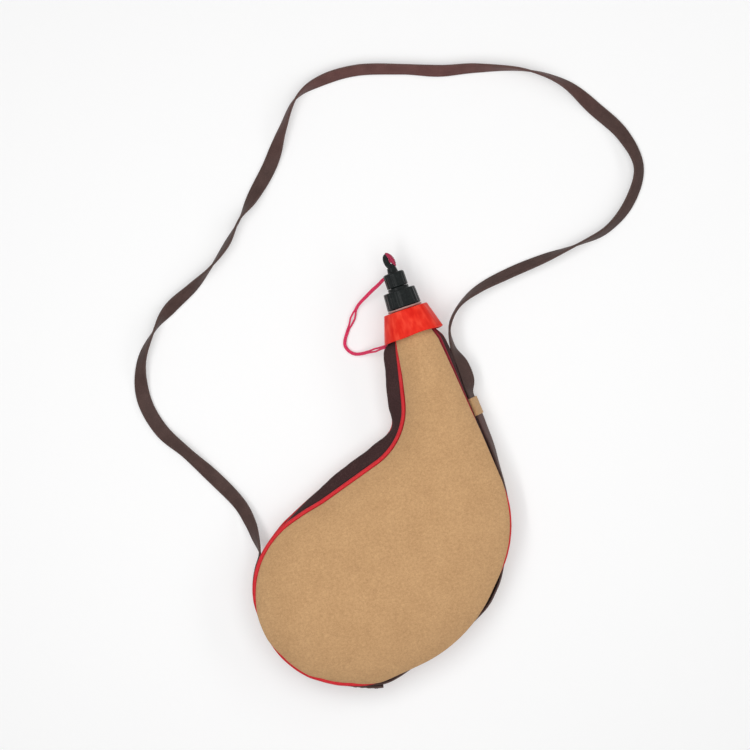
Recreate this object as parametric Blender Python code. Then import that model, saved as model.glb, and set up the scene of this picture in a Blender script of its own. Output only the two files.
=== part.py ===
"""Curved leather wine bag of about one litre, lying on its back.

The nozzle points along +Y, +X is to its right and +Z is up. The origin is on
the flat of the back panel, under the middle of the belly. Sizes are in metres.
"""

import math

import bmesh
import bpy
import numpy as np
from mathutils import Vector

# Clearances
GAP = 0.0003  # between pieces that touch on the real bag
RUN_GAP = 0.0004  # between pieces that turn in one another

# Nozzle axis, and where the collar's lower edge sits on it
AXIS_X = 0.065
AXIS_Z = 0.021
COLLAR_Y = 0.1477

# Bag outline, seen from above: corners and their fillet radii
NECK_TUCK = 0.0018  # the neck ends this far inside the collar
NECK_LEFT = 0.0135  # from the axis to the outline where the neck ends
NECK_RIGHT = 0.0140
SHOULDER_DROP = 0.0085  # the neck reaches its full width this far down
SHOULDER_LEFT = 0.0158
SHOULDER_RIGHT = 0.0166
CROTCH = (0.0358, 0.0827)
CROTCH_RADIUS = 0.0428
HEEL_TOP = (-0.0963, 0.0418)
HEEL_TOP_RADIUS = 0.0570
HEEL_BOTTOM = (-0.0998, -0.0784)
HEEL_BOTTOM_RADIUS = 0.0663
BELLY_BOTTOM = (0.0341, -0.0631)
BELLY_BOTTOM_RADIUS = 0.0977
BELLY_SIDE = (0.0933, 0.0008)
BELLY_SIDE_RADIUS = 0.0784

# Heights above the surface that the bag lies on
NECK_FRONT_RIM = 0.0285
NECK_BACK_RIM = 0.0135
BELLY_FRONT_RIM = 0.0225
BELLY_BACK_RIM = 0.0075
NECK_TOP = 0.0368
NECK_UNDERSIDE = 0.0052
BELLY_TOP = 0.0370
FALL_SHARE = 0.34  # share of the ribs over which the neck becomes the belly
FRONT_CROWN_REACH = 0.046  # from the rim to where the front panel is level
BACK_CROWN_REACH = 0.027

# Leather, bladder and piping
PANEL_THICKNESS = 0.0016
PIPING_RADIUS = 0.0015
GUSSET_THICKNESS = 0.0012
GUSSET_LAP = 0.0010  # how far its outer face lies over the pipings
BLADDER_WALL = 0.0010
BLADDER_GAP = 0.0006
# Gusset fullness: (distance along the rim from the neck, bulge outward)
LEFT_FULLNESS = (
    (0, 0.0004), (0.0035, 0.0022), (0.0105, 0.0098), (0.048, 0.0100), (0.063, 0.0058),
    (0.082, 0.0104), (0.115, 0.0096), (0.140, 0.0068), (0.158, 0.0036), (0.175, 0),
)
RIGHT_FULLNESS = ((0, 0.0003), (0.009, 0.0044), (0.030, 0.0032), (0.050, 0.0015), (0.070, 0))
BACK_RIM_SHARE = 0.7  # share of the bulge that the back panel's rim follows

# Mesh density of the bag
RIBS = 26
RIB_BIAS = 1.25  # ribs lie closer together at the neck
CROWN_COLUMNS = 7
PIPING_SIDES = 6

# Nozzle, along the axis from the collar's lower edge
COLLAR_HEIGHT = 0.0186
COLLAR_FOOT_RADIUS = 0.02035
COLLAR_TOP_RADIUS = 0.0143
COLLAR_WALL = 0.0016
SPOUT_RADIUS = 0.0090  # thread crest
SPOUT_BORE = 0.0065
SPOUT_THREAD_DEPTH = 0.0006
ROOT_RADIUS = 0.0091
ROOT_BARB = 0.0006
ROOT_BARBS = 3
ROOT_LENGTH = 0.0190  # below the flange
FLANGE_RADIUS = 0.0122
FLANGE_THICKNESS = 0.0020
CLAMP_WALL = 0.0013
CLAMP_LENGTH = 0.0070
CLAMP_DROP = 0.0060  # below the neck's end
BLADDER_NECK_LENGTH = 0.0150
WASHER_RADIUS = 0.0132
WASHER_THICKNESS = 0.0018
RING_FOOT_RADIUS = 0.01185
RING_TOP_RADIUS = 0.0111
RING_HEIGHT = 0.0113
RING_ROOF = 0.0015
RING_RIBS = 20
RING_RIB_DEPTH = 0.0006
RING_PITCH = 0.0025
GASKET_THICKNESS = 0.0010
JET_FLANGE_RADIUS = 0.0063
JET_FLANGE_HEIGHT = 0.0022
JET_RADIUS = 0.0046
JET_LENGTH = 0.0076  # above its flange
JET_BORE = 0.0016
JET_THREAD_DEPTH = 0.0004
STOPPER_RADIUS = 0.0074
STOPPER_HEIGHT = 0.0101
STOPPER_CHAMFER = 0.0016
STOPPER_RIBS = 18
STOPPER_RIB_DEPTH = 0.0005
STOPPER_PITCH = 0.0025
LINER_THICKNESS = 0.0009
KNOB_NECK_RADIUS = 0.0034
KNOB_NECK_HEIGHT = 0.0050
EYELET_RADIUS = 0.00535
EYELET_HOLE = 0.0022
EYELET_THICKNESS = 0.0032
EYELET_EDGE = 0.0005
EYELET_RISE = 0.0093  # from the stopper's top to the eyelet's centre

# Tether cord
TETHER_RADIUS = 0.00075
TETHER_SPREAD = 0.0010  # each strand from the middle of the pair
KNOT_RADIUS = 0.0031
KNOT_ANGLE = math.radians(100)
ANCHOR_RADIUS = 0.0163
ANCHOR_RISE = 0.0033
# Middle of the pair, from the anchor's side to the knob's side
TETHER_ROUTE = (
    (0.0450, 0.1451, 0.0180),
    (0.0400, 0.1447, 0.0135),
    (0.0320, 0.1446, 0.0065),
    (0.0235, 0.1465, 0.0026),
    (0.0180, 0.1525, 0.0018),
    (0.0178, 0.1610, 0.0018),
    (0.0215, 0.1695, 0.0020),
    (0.0290, 0.1770, 0.0036),
    (0.0385, 0.1832, 0.0078),
    (0.0480, 0.1885, 0.0128),
    (0.0535, 0.1945, 0.0160),
    (0.0548, 0.1990, 0.0170),
)

# Carrying strap
STRAP_WIDTH = 0.0100
STRAP_THICKNESS = 0.0015
STRAP_LIFT = 0.0002  # over the surface, where it lies on it
STRAP_POINTS = 88
STRAP_EDGE_GAP = 0.0003  # between the gusset and the strap along the rim
STRAP_LEAVES_HEEL = 0.196  # along the left rim, from the neck
STRAP_LEAVES_SIDE = 0.062  # along the right rim, from the neck: the loop's middle
STRAP_SWINGS_OUT = 0.062  # over this length it comes out of its groove to the loop
STRAP_LOOP_ROLL = math.radians(60)  # inside the loop
# Slack of the rim run: (distance along the right rim, how far it sags outward)
STRAP_SLACK = ((0.172, 0), (0.186, 0.0030), (0.203, 0.0030), (0.221, 0))
LAP_START = 0.022  # along the right rim from the heel's end
LAP_LENGTH = 0.034
LAP_LIFT = 0.0012  # its square end stands this far off
STITCH_RADIUS = 0.0004
STITCH_COUNT = 9
STITCH_REACH = 0.0035
LOOP_LENGTH = 0.0120
LOOP_THICKNESS = 0.0010
LOOP_SLACK = 0.0007
LOOP_STANDOFF = 0.0042  # its middle outside the outline
LOOP_DROP = 0.0025  # its middle under the middle of the gusset
# Free stretch from the heel to the neck's loop: x, y, roll in degrees, and
# height of its middle over the surface, or None where it lies on the surface.
# Its two ends follow from the rim run.
STRAP_ROUTE = (
    (-0.0812, 0.0500, 62, 0.0115),
    (-0.0822, 0.0620, 38, 0.0068),
    (-0.0856, 0.0770, 26, 0.0036),
    (-0.0956, 0.0990, 16, None),
    (-0.1080, 0.1210, 38, None),
    (-0.1200, 0.1420, 14, None),
    (-0.1248, 0.1660, 12, None),
    (-0.1180, 0.1900, 52, None),
    (-0.1020, 0.2083, 90, None),
    (-0.0870, 0.2190, 140, None),
    (-0.0690, 0.2271, 128, None),
    (-0.0474, 0.2406, 90, None),
    (-0.0283, 0.2572, 84, None),
    (-0.0092, 0.2734, 32, None),
    (0.0088, 0.2905, 8, None),
    (0.0246, 0.3108, 58, None),
    (0.0400, 0.3280, 88, None),
    (0.0600, 0.3340, 128, None),
    (0.0860, 0.3330, 136, None),
    (0.1150, 0.3240, 134, None),
    (0.1400, 0.3145, 134, None),
    (0.1640, 0.3077, 118, None),
    (0.1950, 0.2960, 88, None),
    (0.2175, 0.2790, 56, None),
    (0.2322, 0.2560, 6, None),
    (0.2448, 0.2328, 22, None),
    (0.2480, 0.2085, 44, None),
    (0.2350, 0.1878, 46, None),
    (0.2145, 0.1748, 66, None),
    (0.1921, 0.1712, 88, None),
    (0.1670, 0.1695, 124, None),
    (0.1410, 0.1675, 134, None),
    (0.1180, 0.1640, 118, 0.0058),
    (0.1010, 0.1570, 96, 0.0085),
    (0.0903, 0.1455, 90, 0.0120),
    (0.0878, 0.1310, 72, 0.0142),
    (0.0902, 0.1185, 34, 0.0146),
    (0.0906, 0.1075, 30, 0.0140),
)

# Derived insets, from the outline inward
EDGE_INSET = 2 * PIPING_RADIUS + GAP  # the panels' edges
GUSSET_INSET = 2 * PIPING_RADIUS - GUSSET_LAP  # the gusset's outer face
BLADDER_INSET = EDGE_INSET + GUSSET_THICKNESS + BLADDER_GAP
CAVITY_INSET = BLADDER_INSET + BLADDER_WALL

# Derived places on the axis, from the collar's lower edge
NECK_END = NECK_TUCK
FLANGE_Y = NECK_END + 2 * GAP
SHELF_Y = FLANGE_Y + FLANGE_THICKNESS
WASHER_Y = COLLAR_HEIGHT + GAP
RING_Y = WASHER_Y + WASHER_THICKNESS + GAP
RING_TOP_Y = RING_Y + RING_HEIGHT
ROOF_Y = RING_TOP_Y - RING_ROOF
GASKET_Y = ROOF_Y - GAP - GASKET_THICKNESS
SPOUT_TOP_Y = GASKET_Y - GAP
JET_FOOT_Y = RING_TOP_Y + JET_FLANGE_HEIGHT
JET_TOP_Y = JET_FOOT_Y + JET_LENGTH
STOPPER_Y = JET_FOOT_Y + GAP
STOPPER_TOP_Y = STOPPER_Y + STOPPER_HEIGHT
LINER_Y = JET_TOP_Y + GAP
STOPPER_BORE_TOP_Y = LINER_Y + LINER_THICKNESS + GAP


def clear_scene():
    for obj in list(bpy.data.objects):
        bpy.data.objects.remove(obj, do_unlink=True)


def make_material(name, colour, roughness, metallic=0.0):
    mat = bpy.data.materials.new(name)
    mat.use_nodes = True
    shader = mat.node_tree.nodes["Principled BSDF"]
    shader.inputs["Base Color"].default_value = (*colour, 1.0)
    shader.inputs["Roughness"].default_value = roughness
    shader.inputs["Metallic"].default_value = metallic
    return mat


def add_object(name, verts, faces, mat, sharp=math.radians(40), parent=None, place=(0, 0, 0)):
    """A closed mesh object, its faces turned outward and its flat edges kept."""
    mesh = bpy.data.meshes.new(name)
    mesh.from_pydata([tuple(v) for v in verts], [], faces)
    bm = bmesh.new()
    bm.from_mesh(mesh)
    bmesh.ops.recalc_face_normals(bm, faces=bm.faces)
    bm.to_mesh(mesh)
    bm.free()
    mesh.materials.append(mat)
    mesh.shade_smooth()
    mesh.set_sharp_from_angle(angle=sharp)
    obj = bpy.data.objects.new(name, mesh)
    bpy.context.scene.collection.objects.link(obj)
    obj.parent = parent
    obj.location = place
    return obj


def loft(rings, wrap=False, caps=False):
    """Verts and faces through closed rings. A ring of one point is a pole."""
    verts, starts, faces = [], [], []
    for ring in rings:
        starts.append(len(verts))
        verts.extend(ring)
    pairs = list(zip(range(len(rings)), range(1, len(rings))))
    if wrap:
        pairs.append((len(rings) - 1, 0))
    for a, b in pairs:
        count = max(len(rings[a]), len(rings[b]))
        for k in range(count):
            m = (k + 1) % count
            if len(rings[a]) == 1:
                faces.append((starts[a], starts[b] + k, starts[b] + m))
            elif len(rings[b]) == 1:
                faces.append((starts[a] + k, starts[b], starts[a] + m))
            else:
                faces.append((starts[a] + k, starts[b] + k, starts[b] + m, starts[a] + m))
    if caps:
        faces.append(tuple(range(starts[0], starts[0] + len(rings[0]))))
        faces.append(tuple(range(starts[-1], starts[-1] + len(rings[-1]))))
    return verts, faces


def turned_rings(profile, segments, ribs=0.0, pitch=1.0, thread=0.0):
    """Rings about the local Y axis. A profile row is radius, place on the axis
    and kind: plain, rib (every other pair of points drawn in) or thread."""
    rings = []
    for radius, along, kind in profile:
        if radius == 0:
            rings.append([(0, along, 0)])
            continue
        ring = []
        for k in range(segments):
            angle = 2 * math.pi * k / segments
            r = radius
            if kind == "rib" and k % 4 > 1:
                r -= ribs
            if kind == "thread":
                r -= thread * (0.5 - 0.5 * math.cos(2 * math.pi * along / pitch - angle))
            ring.append((r * math.sin(angle), along, r * math.cos(angle)))
        rings.append(ring)
    return rings


def turned(name, profile, segments, mat, parent, **shape):
    """A solid turned about the nozzle axis, with its origin on that axis."""
    rings = turned_rings(profile, segments, **shape)
    hollow = all(row[0] > 0 for row in profile)
    verts, faces = loft(rings, wrap=hollow)
    return add_object(name, verts, faces, mat, math.radians(32), parent)


def join_hidden(obj, other):
    """Joins another solid to this one and keeps it as a hidden guide."""
    other.hide_render = True
    other.display_type = "WIRE"
    union = obj.modifiers.new(other.name, "BOOLEAN")
    union.operation = "UNION"
    union.object = other


def thread_rows(radius, low, high, pitch):
    """Profile rows for a thread between two places, four to a turn."""
    count = max(2, round((high - low) / pitch * 4))
    return [(radius, low + (high - low) * k / count, "thread") for k in range(count + 1)]


def fillet_points(corners, step=math.radians(4)):
    """Points along an open path of corners (x, y, radius) with round fillets."""
    points = [np.array(corners[0][:2])]
    middles = []
    for before, at, after in zip(corners, corners[1:], corners[2:]):
        p, q, s = (np.array(c[:2]) for c in (before, at, after))
        to_p = (p - q) / np.linalg.norm(p - q)
        to_s = (s - q) / np.linalg.norm(s - q)
        half = math.acos(float(np.clip(to_p @ to_s, -1, 1))) / 2
        bisector = (to_p + to_s) / np.linalg.norm(to_p + to_s)
        centre = q + bisector * at[2] / math.sin(half)
        start = q + to_p * at[2] / math.tan(half)
        end = q + to_s * at[2] / math.tan(half)
        a = math.atan2(*(start - centre)[::-1])
        turn = (math.atan2(*(end - centre)[::-1]) - a + math.pi) % (2 * math.pi) - math.pi
        count = max(2, math.ceil(abs(turn) / step))
        middles.append(len(points) + count // 2)
        for k in range(count + 1):
            angle = a + turn * k / count
            points.append(centre + at[2] * np.array([math.cos(angle), math.sin(angle)]))
    points.append(np.array(corners[-1][:2]))
    return np.array(points), middles


def bag_outline():
    """The outline's left and right sides, each from the neck to the heel's end."""
    neck_y = COLLAR_Y + NECK_TUCK
    shoulder_y = neck_y - SHOULDER_DROP
    corners = (
        (AXIS_X - NECK_LEFT, neck_y, 0),
        (AXIS_X - SHOULDER_LEFT, shoulder_y, 0.006),
        (*CROTCH, CROTCH_RADIUS),
        (*HEEL_TOP, HEEL_TOP_RADIUS),
        (*HEEL_BOTTOM, HEEL_BOTTOM_RADIUS),
        (*BELLY_BOTTOM, BELLY_BOTTOM_RADIUS),
        (*BELLY_SIDE, BELLY_SIDE_RADIUS),
        (AXIS_X + SHOULDER_RIGHT, shoulder_y, 0.006),
        (AXIS_X + NECK_RIGHT, neck_y, 0),
    )
    points, middles = fillet_points(corners)
    heel_end = middles[3]
    return points[: heel_end + 1], points[heel_end:][::-1]


class Side:
    """One side of the outline, walked by its length from the neck."""

    def __init__(self, points, inward):
        self.points = points
        self.steps = np.concatenate(([0], np.cumsum(np.linalg.norm(np.diff(points, axis=0), axis=1))))
        self.length = self.steps[-1]
        self.inward = inward

    def at(self, distance):
        return np.array([np.interp(distance, self.steps, self.points[:, k]) for k in (0, 1)])

    def normal(self, distance, reach=0.004):
        """Unit vector into the bag, level."""
        low, high = max(distance - reach, 0), min(distance + reach, self.length)
        along = self.at(high) - self.at(low)
        along /= np.linalg.norm(along)
        return self.inward * np.array([-along[1], along[0]])


def ease(share):
    share = min(max(share, 0.0), 1.0)
    return share * share * (3 - 2 * share)


def blend_heights(neck, belly, share):
    return neck + (belly - neck) * ease(share / FALL_SHARE)


def fullness(side_table, distance):
    places, amounts = zip(*side_table)
    return float(np.interp(distance, places, amounts))


class Station:
    """A place on the rim: where both pipings, the gusset and the strap lie."""

    def __init__(self, side, distance, share, table):
        self.point = side.at(distance)
        self.inward = side.normal(distance)
        self.front_z = blend_heights(NECK_FRONT_RIM, BELLY_FRONT_RIM, share)
        self.back_z = blend_heights(NECK_BACK_RIM, BELLY_BACK_RIM, share)
        self.bulge = fullness(table, distance)
        self.back_bulge = self.bulge * BACK_RIM_SHARE
        self.distance = distance

    def place(self, inset, z, shift=0.0):
        """A point this far inside the outline moved outward by shift."""
        x, y = self.point + self.inward * (inset - shift)
        return Vector((x, y, z))


def rim_stations(left, right):
    """Stations down the left side, round the heel's end and up the right side."""
    shares = [(k / RIBS) ** RIB_BIAS for k in range(RIBS + 1)]
    down = [Station(left, s * left.length, k / RIBS, LEFT_FULLNESS) for k, s in enumerate(shares)]
    up = [Station(right, s * right.length, k / RIBS, RIGHT_FULLNESS) for k, s in enumerate(shares)]
    end = down[-1]
    end.inward = down[-1].inward + up[-1].inward
    end.inward = end.inward / np.linalg.norm(end.inward)
    up[-1] = end
    return down, up


def distance_to_rim(point, border):
    """Least level distance from a point to the rim, which is open at the neck."""
    a, b = border[:-1], border[1:]
    run = b - a
    share = np.clip(((point - a) * run).sum(1) / (run * run).sum(1), 0, 1)
    return float(np.linalg.norm(a + run * share[:, None] - point, axis=1).min())


def crown_share(distance, reach):
    """How much of its full height the crown has this far from the rim."""
    q = min(distance / reach, 1.0)
    return (1 - (1 - q) ** 2.2) ** 0.8


def panel_grid(down, up, front):
    """Outer surface of a panel as rows from the neck to the heel's end, each
    row running from the left rim to the right rim."""
    shift = (lambda s: 0.0) if front else (lambda s: s.back_bulge)
    rim = [s.point - s.inward * shift(s) for s in down + up[-2::-1]]
    border = np.array(rim)
    rows = []
    for k in range(RIBS):
        left, right = down[k], up[k]
        share = k / RIBS
        ends = []
        for inset in (EDGE_INSET, BLADDER_INSET, CAVITY_INSET):
            a = left.place(inset, 0, shift(left))
            b = right.place(inset, 0, shift(right))
            ends.append((a, b))
        inner_a, inner_b = ends[-1]
        flat = [pair[0] for pair in ends]
        for c in range(1, CROWN_COLUMNS + 1):
            flat.append(inner_a.lerp(inner_b, c / (CROWN_COLUMNS + 1)))
        flat += [pair[1] for pair in reversed(ends)]
        half_width = (ends[0][1] - ends[0][0]).length / 2 + EDGE_INSET
        reach = FRONT_CROWN_REACH if front else BACK_CROWN_REACH
        if share < 0.5:
            reach = min(reach, half_width)
        if front:
            rim_z = blend_heights(NECK_FRONT_RIM, BELLY_FRONT_RIM, share)
            far_z = blend_heights(NECK_TOP, BELLY_TOP, share)
        else:
            rim_z = blend_heights(NECK_BACK_RIM, BELLY_BACK_RIM, share)
            far_z = blend_heights(NECK_UNDERSIDE, 0.0, share)
        row = []
        for point in flat:
            inside = distance_to_rim(np.array(point.xy), border) - PIPING_RADIUS
            row.append(Vector((point.x, point.y, rim_z + (far_z - rim_z) * crown_share(inside, reach))))
        rows.append(row)
    tips = []
    end = down[-1]
    for inset in (EDGE_INSET, BLADDER_INSET, CAVITY_INSET):
        if front:
            rim_z, far_z, reach = BELLY_FRONT_RIM, BELLY_TOP, FRONT_CROWN_REACH
        else:
            rim_z, far_z, reach = BELLY_BACK_RIM, 0.0, BACK_CROWN_REACH
        inside = inset - PIPING_RADIUS
        tips.append(end.place(inset, rim_z + (far_z - rim_z) * crown_share(inside, reach)))
    return rows, tips


def lifted(points, dz):
    return [Vector((p.x, p.y, p.z + dz)) for p in points]


def add_panel(name, rows, tips, thickness, mat):
    """A dished sheet: the outer grid, the same grid moved in, and their rim."""
    width = len(rows[0])
    layers = []
    for dz in (0.0, thickness):
        layers.append([v for row in rows for v in lifted(row, dz)] + lifted(tips[:1], dz))
    count = len(layers[0])
    verts = layers[0] + layers[1]
    faces = []
    tip = count - 1
    for base in (0, count):
        for k in range(len(rows) - 1):
            for c in range(width - 1):
                a = base + k * width + c
                faces.append((a, a + 1, a + width + 1, a + width))
        last = base + (len(rows) - 1) * width
        for c in range(width - 1):
            faces.append((last + c, last + c + 1, base + tip))
    border = list(range(width))
    border += [k * width + width - 1 for k in range(1, len(rows))]
    border += [tip]
    border += [k * width for k in range(len(rows) - 1, 0, -1)]
    for a, b in zip(border, border[1:] + border[:1]):
        faces.append((a, b, b + count, a + count))
    return add_object(name, verts, faces, mat)


def bladder_ring(top_row, bottom_row, first, dz):
    """Closed ring round the bladder at one rib, from grid columns on the panels."""
    top = lifted(top_row[first : len(top_row) - first], -dz)
    bottom = lifted(bottom_row[first : len(bottom_row) - first], dz)
    return top + bottom[::-1]


def neck_ring(radius, along, like):
    """Circle about the nozzle axis with as many points as a bladder ring."""
    half = len(like) // 2
    ring = []
    for k in range(len(like)):
        side, place = divmod(k, half)
        angle = math.pi * (place + 0.5) / half
        turn = math.pi - angle if side == 0 else -angle
        ring.append(Vector((
            AXIS_X + radius * math.cos(turn),
            COLLAR_Y + along,
            AXIS_Z + radius * math.sin(turn),
        )))
    return ring


def add_bladder(front_rows, back_rows, front_tips, back_tips, mat):
    """Hollow lining: outer rings from its mouth to the heel, then inner rings back."""
    shell = PANEL_THICKNESS + BLADDER_GAP
    hollow = shell + BLADDER_WALL
    mouth = NECK_END - GAP
    neck_foot = mouth - BLADDER_NECK_LENGTH
    outer_radius = ROOT_RADIUS + GAP + BLADDER_WALL
    start = 4
    outer, inner = [], []
    for k in range(start, RIBS):
        outer.append(bladder_ring(front_rows[k], back_rows[k], 1, shell))
        inner.append(bladder_ring(front_rows[k], back_rows[k], 2, hollow))
    for rings, radius in ((outer, outer_radius), (inner, ROOT_RADIUS + GAP)):
        rings.insert(0, neck_ring(radius, neck_foot, rings[0]))
        rings.insert(0, neck_ring(radius, mouth, rings[0]))
    outer_tip = (front_tips[1] + back_tips[1]) / 2
    inner_tip = (front_tips[2] + back_tips[2]) / 2
    outer_side, outer_faces = loft(outer + [[outer_tip]])
    inner_side, inner_faces = loft(inner + [[inner_tip]])
    shift = len(outer_side)
    faces = outer_faces + [tuple(v + shift for v in face) for face in inner_faces]
    # The two rings at the mouth have unlike counts, so triangles join them by angle.
    wide, narrow = len(outer[0]), len(inner[0])
    a = b = 0
    while a < wide or b < narrow:
        if b >= narrow or (a < wide and (a + 1) / wide <= (b + 1) / narrow):
            faces.append((a % wide, (a + 1) % wide, shift + b % narrow))
            a += 1
        else:
            faces.append((a % wide, shift + (b + 1) % narrow, shift + b % narrow))
            b += 1
    return add_object("bladder", outer_side + inner_side, faces, mat)


def tube_rings(points, radius, sides):
    """Rings square to a path of points, with a steady up direction."""
    rings = []
    for k, point in enumerate(points):
        along = points[min(k + 1, len(points) - 1)] - points[max(k - 1, 0)]
        along.normalize()
        level = along.cross(Vector((0, 0, 1))).normalized()
        up = level.cross(along)
        ring = []
        for s in range(sides):
            angle = 2 * math.pi * (s + 0.5) / sides
            ring.append(point + level * radius * math.cos(angle) + up * radius * math.sin(angle))
        rings.append(ring)
    return rings


def add_piping(name, stations, front, mat):
    points = []
    for s in stations:
        z, shift = (s.front_z, 0.0) if front else (s.back_z, s.back_bulge)
        points.append(s.place(PIPING_RADIUS, z, shift))
    verts, faces = loft(tube_rings(points, PIPING_RADIUS, PIPING_SIDES), caps=True)
    return add_object(name, verts, faces, mat)


def add_gusset(stations, mat):
    """A band between the pipings, fuller in the middle of its height."""
    rings = []
    for s in stations:
        top = s.front_z - PIPING_RADIUS - 2 * GAP
        bottom = s.back_z + PIPING_RADIUS + 2 * GAP
        middle = (top + bottom) / 2
        rows = ((top, 0.10 * s.bulge), (middle, s.bulge), (bottom, s.back_bulge))
        ring = [s.place(GUSSET_INSET, z, out) for z, out in rows]
        ring += [s.place(GUSSET_INSET + GUSSET_THICKNESS, z, out) for z, out in reversed(rows)]
        rings.append(ring)
    verts, faces = loft(rings, caps=True)
    return add_object("gusset_band", verts, faces, mat, math.radians(60))


def smooth_path(points, count):
    """Evenly spaced rows on a Catmull-Rom curve through rows of numbers."""
    rows = np.array(points, float)
    rows = np.vstack((2 * rows[0] - rows[1], rows, 2 * rows[-1] - rows[-2]))
    dense = []
    for k in range(1, len(rows) - 2):
        p0, p1, p2, p3 = rows[k - 1 : k + 3]
        for t in np.linspace(0, 1, 24, endpoint=False):
            a, b = -p0 + 3 * p1 - 3 * p2 + p3, 2 * p0 - 5 * p1 + 4 * p2 - p3
            dense.append(0.5 * (a * t**3 + b * t**2 + (p2 - p0) * t + 2 * p1))
    dense.append(rows[-2])
    dense = np.array(dense)
    steps = np.concatenate(([0], np.cumsum(np.linalg.norm(np.diff(dense[:, :3], axis=0), axis=1))))
    places = np.linspace(0, steps[-1], count)
    return np.array([[np.interp(p, steps, dense[:, c]) for c in range(dense.shape[1])] for p in places])


def ribbon_rings(points, rolls, width, thickness):
    """Rectangular rings along a path. Roll 0 lies flat and 90 degrees stands on edge."""
    rings = []
    for k, (point, roll) in enumerate(zip(points, rolls)):
        along = points[min(k + 1, len(points) - 1)] - points[max(k - 1, 0)]
        along = Vector((along.x, along.y, 0)).normalized()
        level = along.cross(Vector((0, 0, 1)))
        across = level * math.cos(roll) + Vector((0, 0, 1)) * math.sin(roll)
        face = Vector((0, 0, 1)) * math.cos(roll) - level * math.sin(roll)
        corners = ((-1, -1), (1, -1), (1, 1), (-1, 1))
        rings.append([point + across * width / 2 * a + face * thickness / 2 * b for a, b in corners])
    return rings


def strap_half_height(roll):
    return (STRAP_WIDTH * abs(math.sin(roll)) + STRAP_THICKNESS * abs(math.cos(roll))) / 2


def free_strap_rows():
    """Route rows with every height filled in: x, y, z, roll."""
    rows = []
    for x, y, degrees, height in STRAP_ROUTE:
        roll = math.radians(degrees)
        z = STRAP_LIFT + strap_half_height(roll) if height is None else height
        rows.append((x, y, z, roll))
    return rows


def add_free_strap(heel_end, loop_end, mat):
    """The free stretch. Each end of the rim run is a point, its way out and a roll."""
    (heel, heel_way, heel_roll), (loop, loop_way, loop_roll) = heel_end, loop_end
    rows = [(*(heel + heel_way * reach), heel_roll) for reach in (GAP, 0.006)]
    rows += free_strap_rows()
    rows += [(*(loop + loop_way * reach), loop_roll) for reach in (LOOP_LENGTH * 0.8, GAP)]
    path = smooth_path(rows, STRAP_POINTS)
    points, rolls = [], []
    for x, y, z, roll in path:
        lowest = STRAP_LIFT + strap_half_height(roll)
        points.append(Vector((x, y, max(z, lowest))))
        rolls.append(roll)
    verts, faces = loft(ribbon_rings(points, rolls, STRAP_WIDTH, STRAP_THICKNESS), caps=True)
    return add_object("strap_free", verts, faces, mat, math.radians(50))


def groove_inset():
    """Inset of the strap's middle where it lies in the groove of the rim."""
    return GUSSET_INSET - STRAP_EDGE_GAP - STRAP_THICKNESS / 2


def share_at_right(distance, right):
    """Share of the ribs passed at a distance along the right side."""
    return (distance / right.length) ** (1 / RIB_BIAS)


def right_station(right, distance):
    return Station(right, distance, share_at_right(distance, right), RIGHT_FULLNESS)


def strap_on_rim(station, standoff, slack=0.0):
    """Middle and roll of the rim run. Standoff is 0 in the groove and 1 in the loop."""
    middle = (station.front_z + station.back_z) / 2 - LOOP_DROP * standoff
    out = (LOOP_STANDOFF + groove_inset()) * standoff + slack
    roll = math.pi / 2 + (math.pi / 2 - STRAP_LOOP_ROLL) * standoff
    return station.place(groove_inset(), middle, out), roll


def add_rim_strap(left, right, mat):
    """The run from the heel round to the neck's loop. Returns its two ends."""
    placed = []
    for d in np.linspace(STRAP_LEAVES_HEEL, left.length, 9, endpoint=False):
        placed.append(strap_on_rim(Station(left, d, 1.0, LEFT_FULLNESS), 0.0))
    swing = STRAP_LEAVES_SIDE + LOOP_LENGTH / 2 + STRAP_SWINGS_OUT
    for d in np.linspace(right.length, STRAP_LEAVES_SIDE, 32):
        standoff = ease((swing - d) / STRAP_SWINGS_OUT)
        slack = fullness(STRAP_SLACK, d)
        placed.append(strap_on_rim(right_station(right, d), standoff, slack))
    points = [point for point, roll in placed]
    rolls = [roll for point, roll in placed]
    verts, faces = loft(ribbon_rings(points, rolls, STRAP_WIDTH, STRAP_THICKNESS), caps=True)
    add_object("strap_rim", verts, faces, mat, math.radians(50))
    heel_way = (points[0] - points[1]).normalized()
    loop_way = (points[-1] - points[-2]).normalized()
    return (points[0], heel_way, rolls[0]), (points[-1], loop_way, math.pi - rolls[-1])


def add_lap(right, mat, thread_mat):
    """The strap's sewn end, outside the rim run, and the thread through it."""
    seat = groove_inset() - STRAP_THICKNESS - GAP
    middle = (BELLY_FRONT_RIM + BELLY_BACK_RIM) / 2
    points = []
    for share in np.linspace(0, 1, 7):
        s = right_station(right, right.length - LAP_START - LAP_LENGTH * share)
        points.append(s.place(seat, middle, LAP_LIFT * share**2))
    rolls = [math.pi / 2] * len(points)
    verts, faces = loft(ribbon_rings(points, rolls, STRAP_WIDTH, STRAP_THICKNESS), caps=True)
    add_object("strap_lap", verts, faces, mat, math.radians(50))
    stitch_seat = seat - STRAP_THICKNESS / 2 - GAP - STITCH_RADIUS
    points = []
    for k in range(STITCH_COUNT):
        share = 0.1 + 0.8 * k / (STITCH_COUNT - 1)
        s = right_station(right, right.length - LAP_START - LAP_LENGTH * share)
        rise = STITCH_REACH if k % 2 else -STITCH_REACH
        points.append(s.place(stitch_seat, middle + rise, LAP_LIFT * share**2))
    verts, faces = loft(tube_rings(points, STITCH_RADIUS, 6), caps=True)
    add_object("lap_thread", verts, faces, thread_mat)


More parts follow.
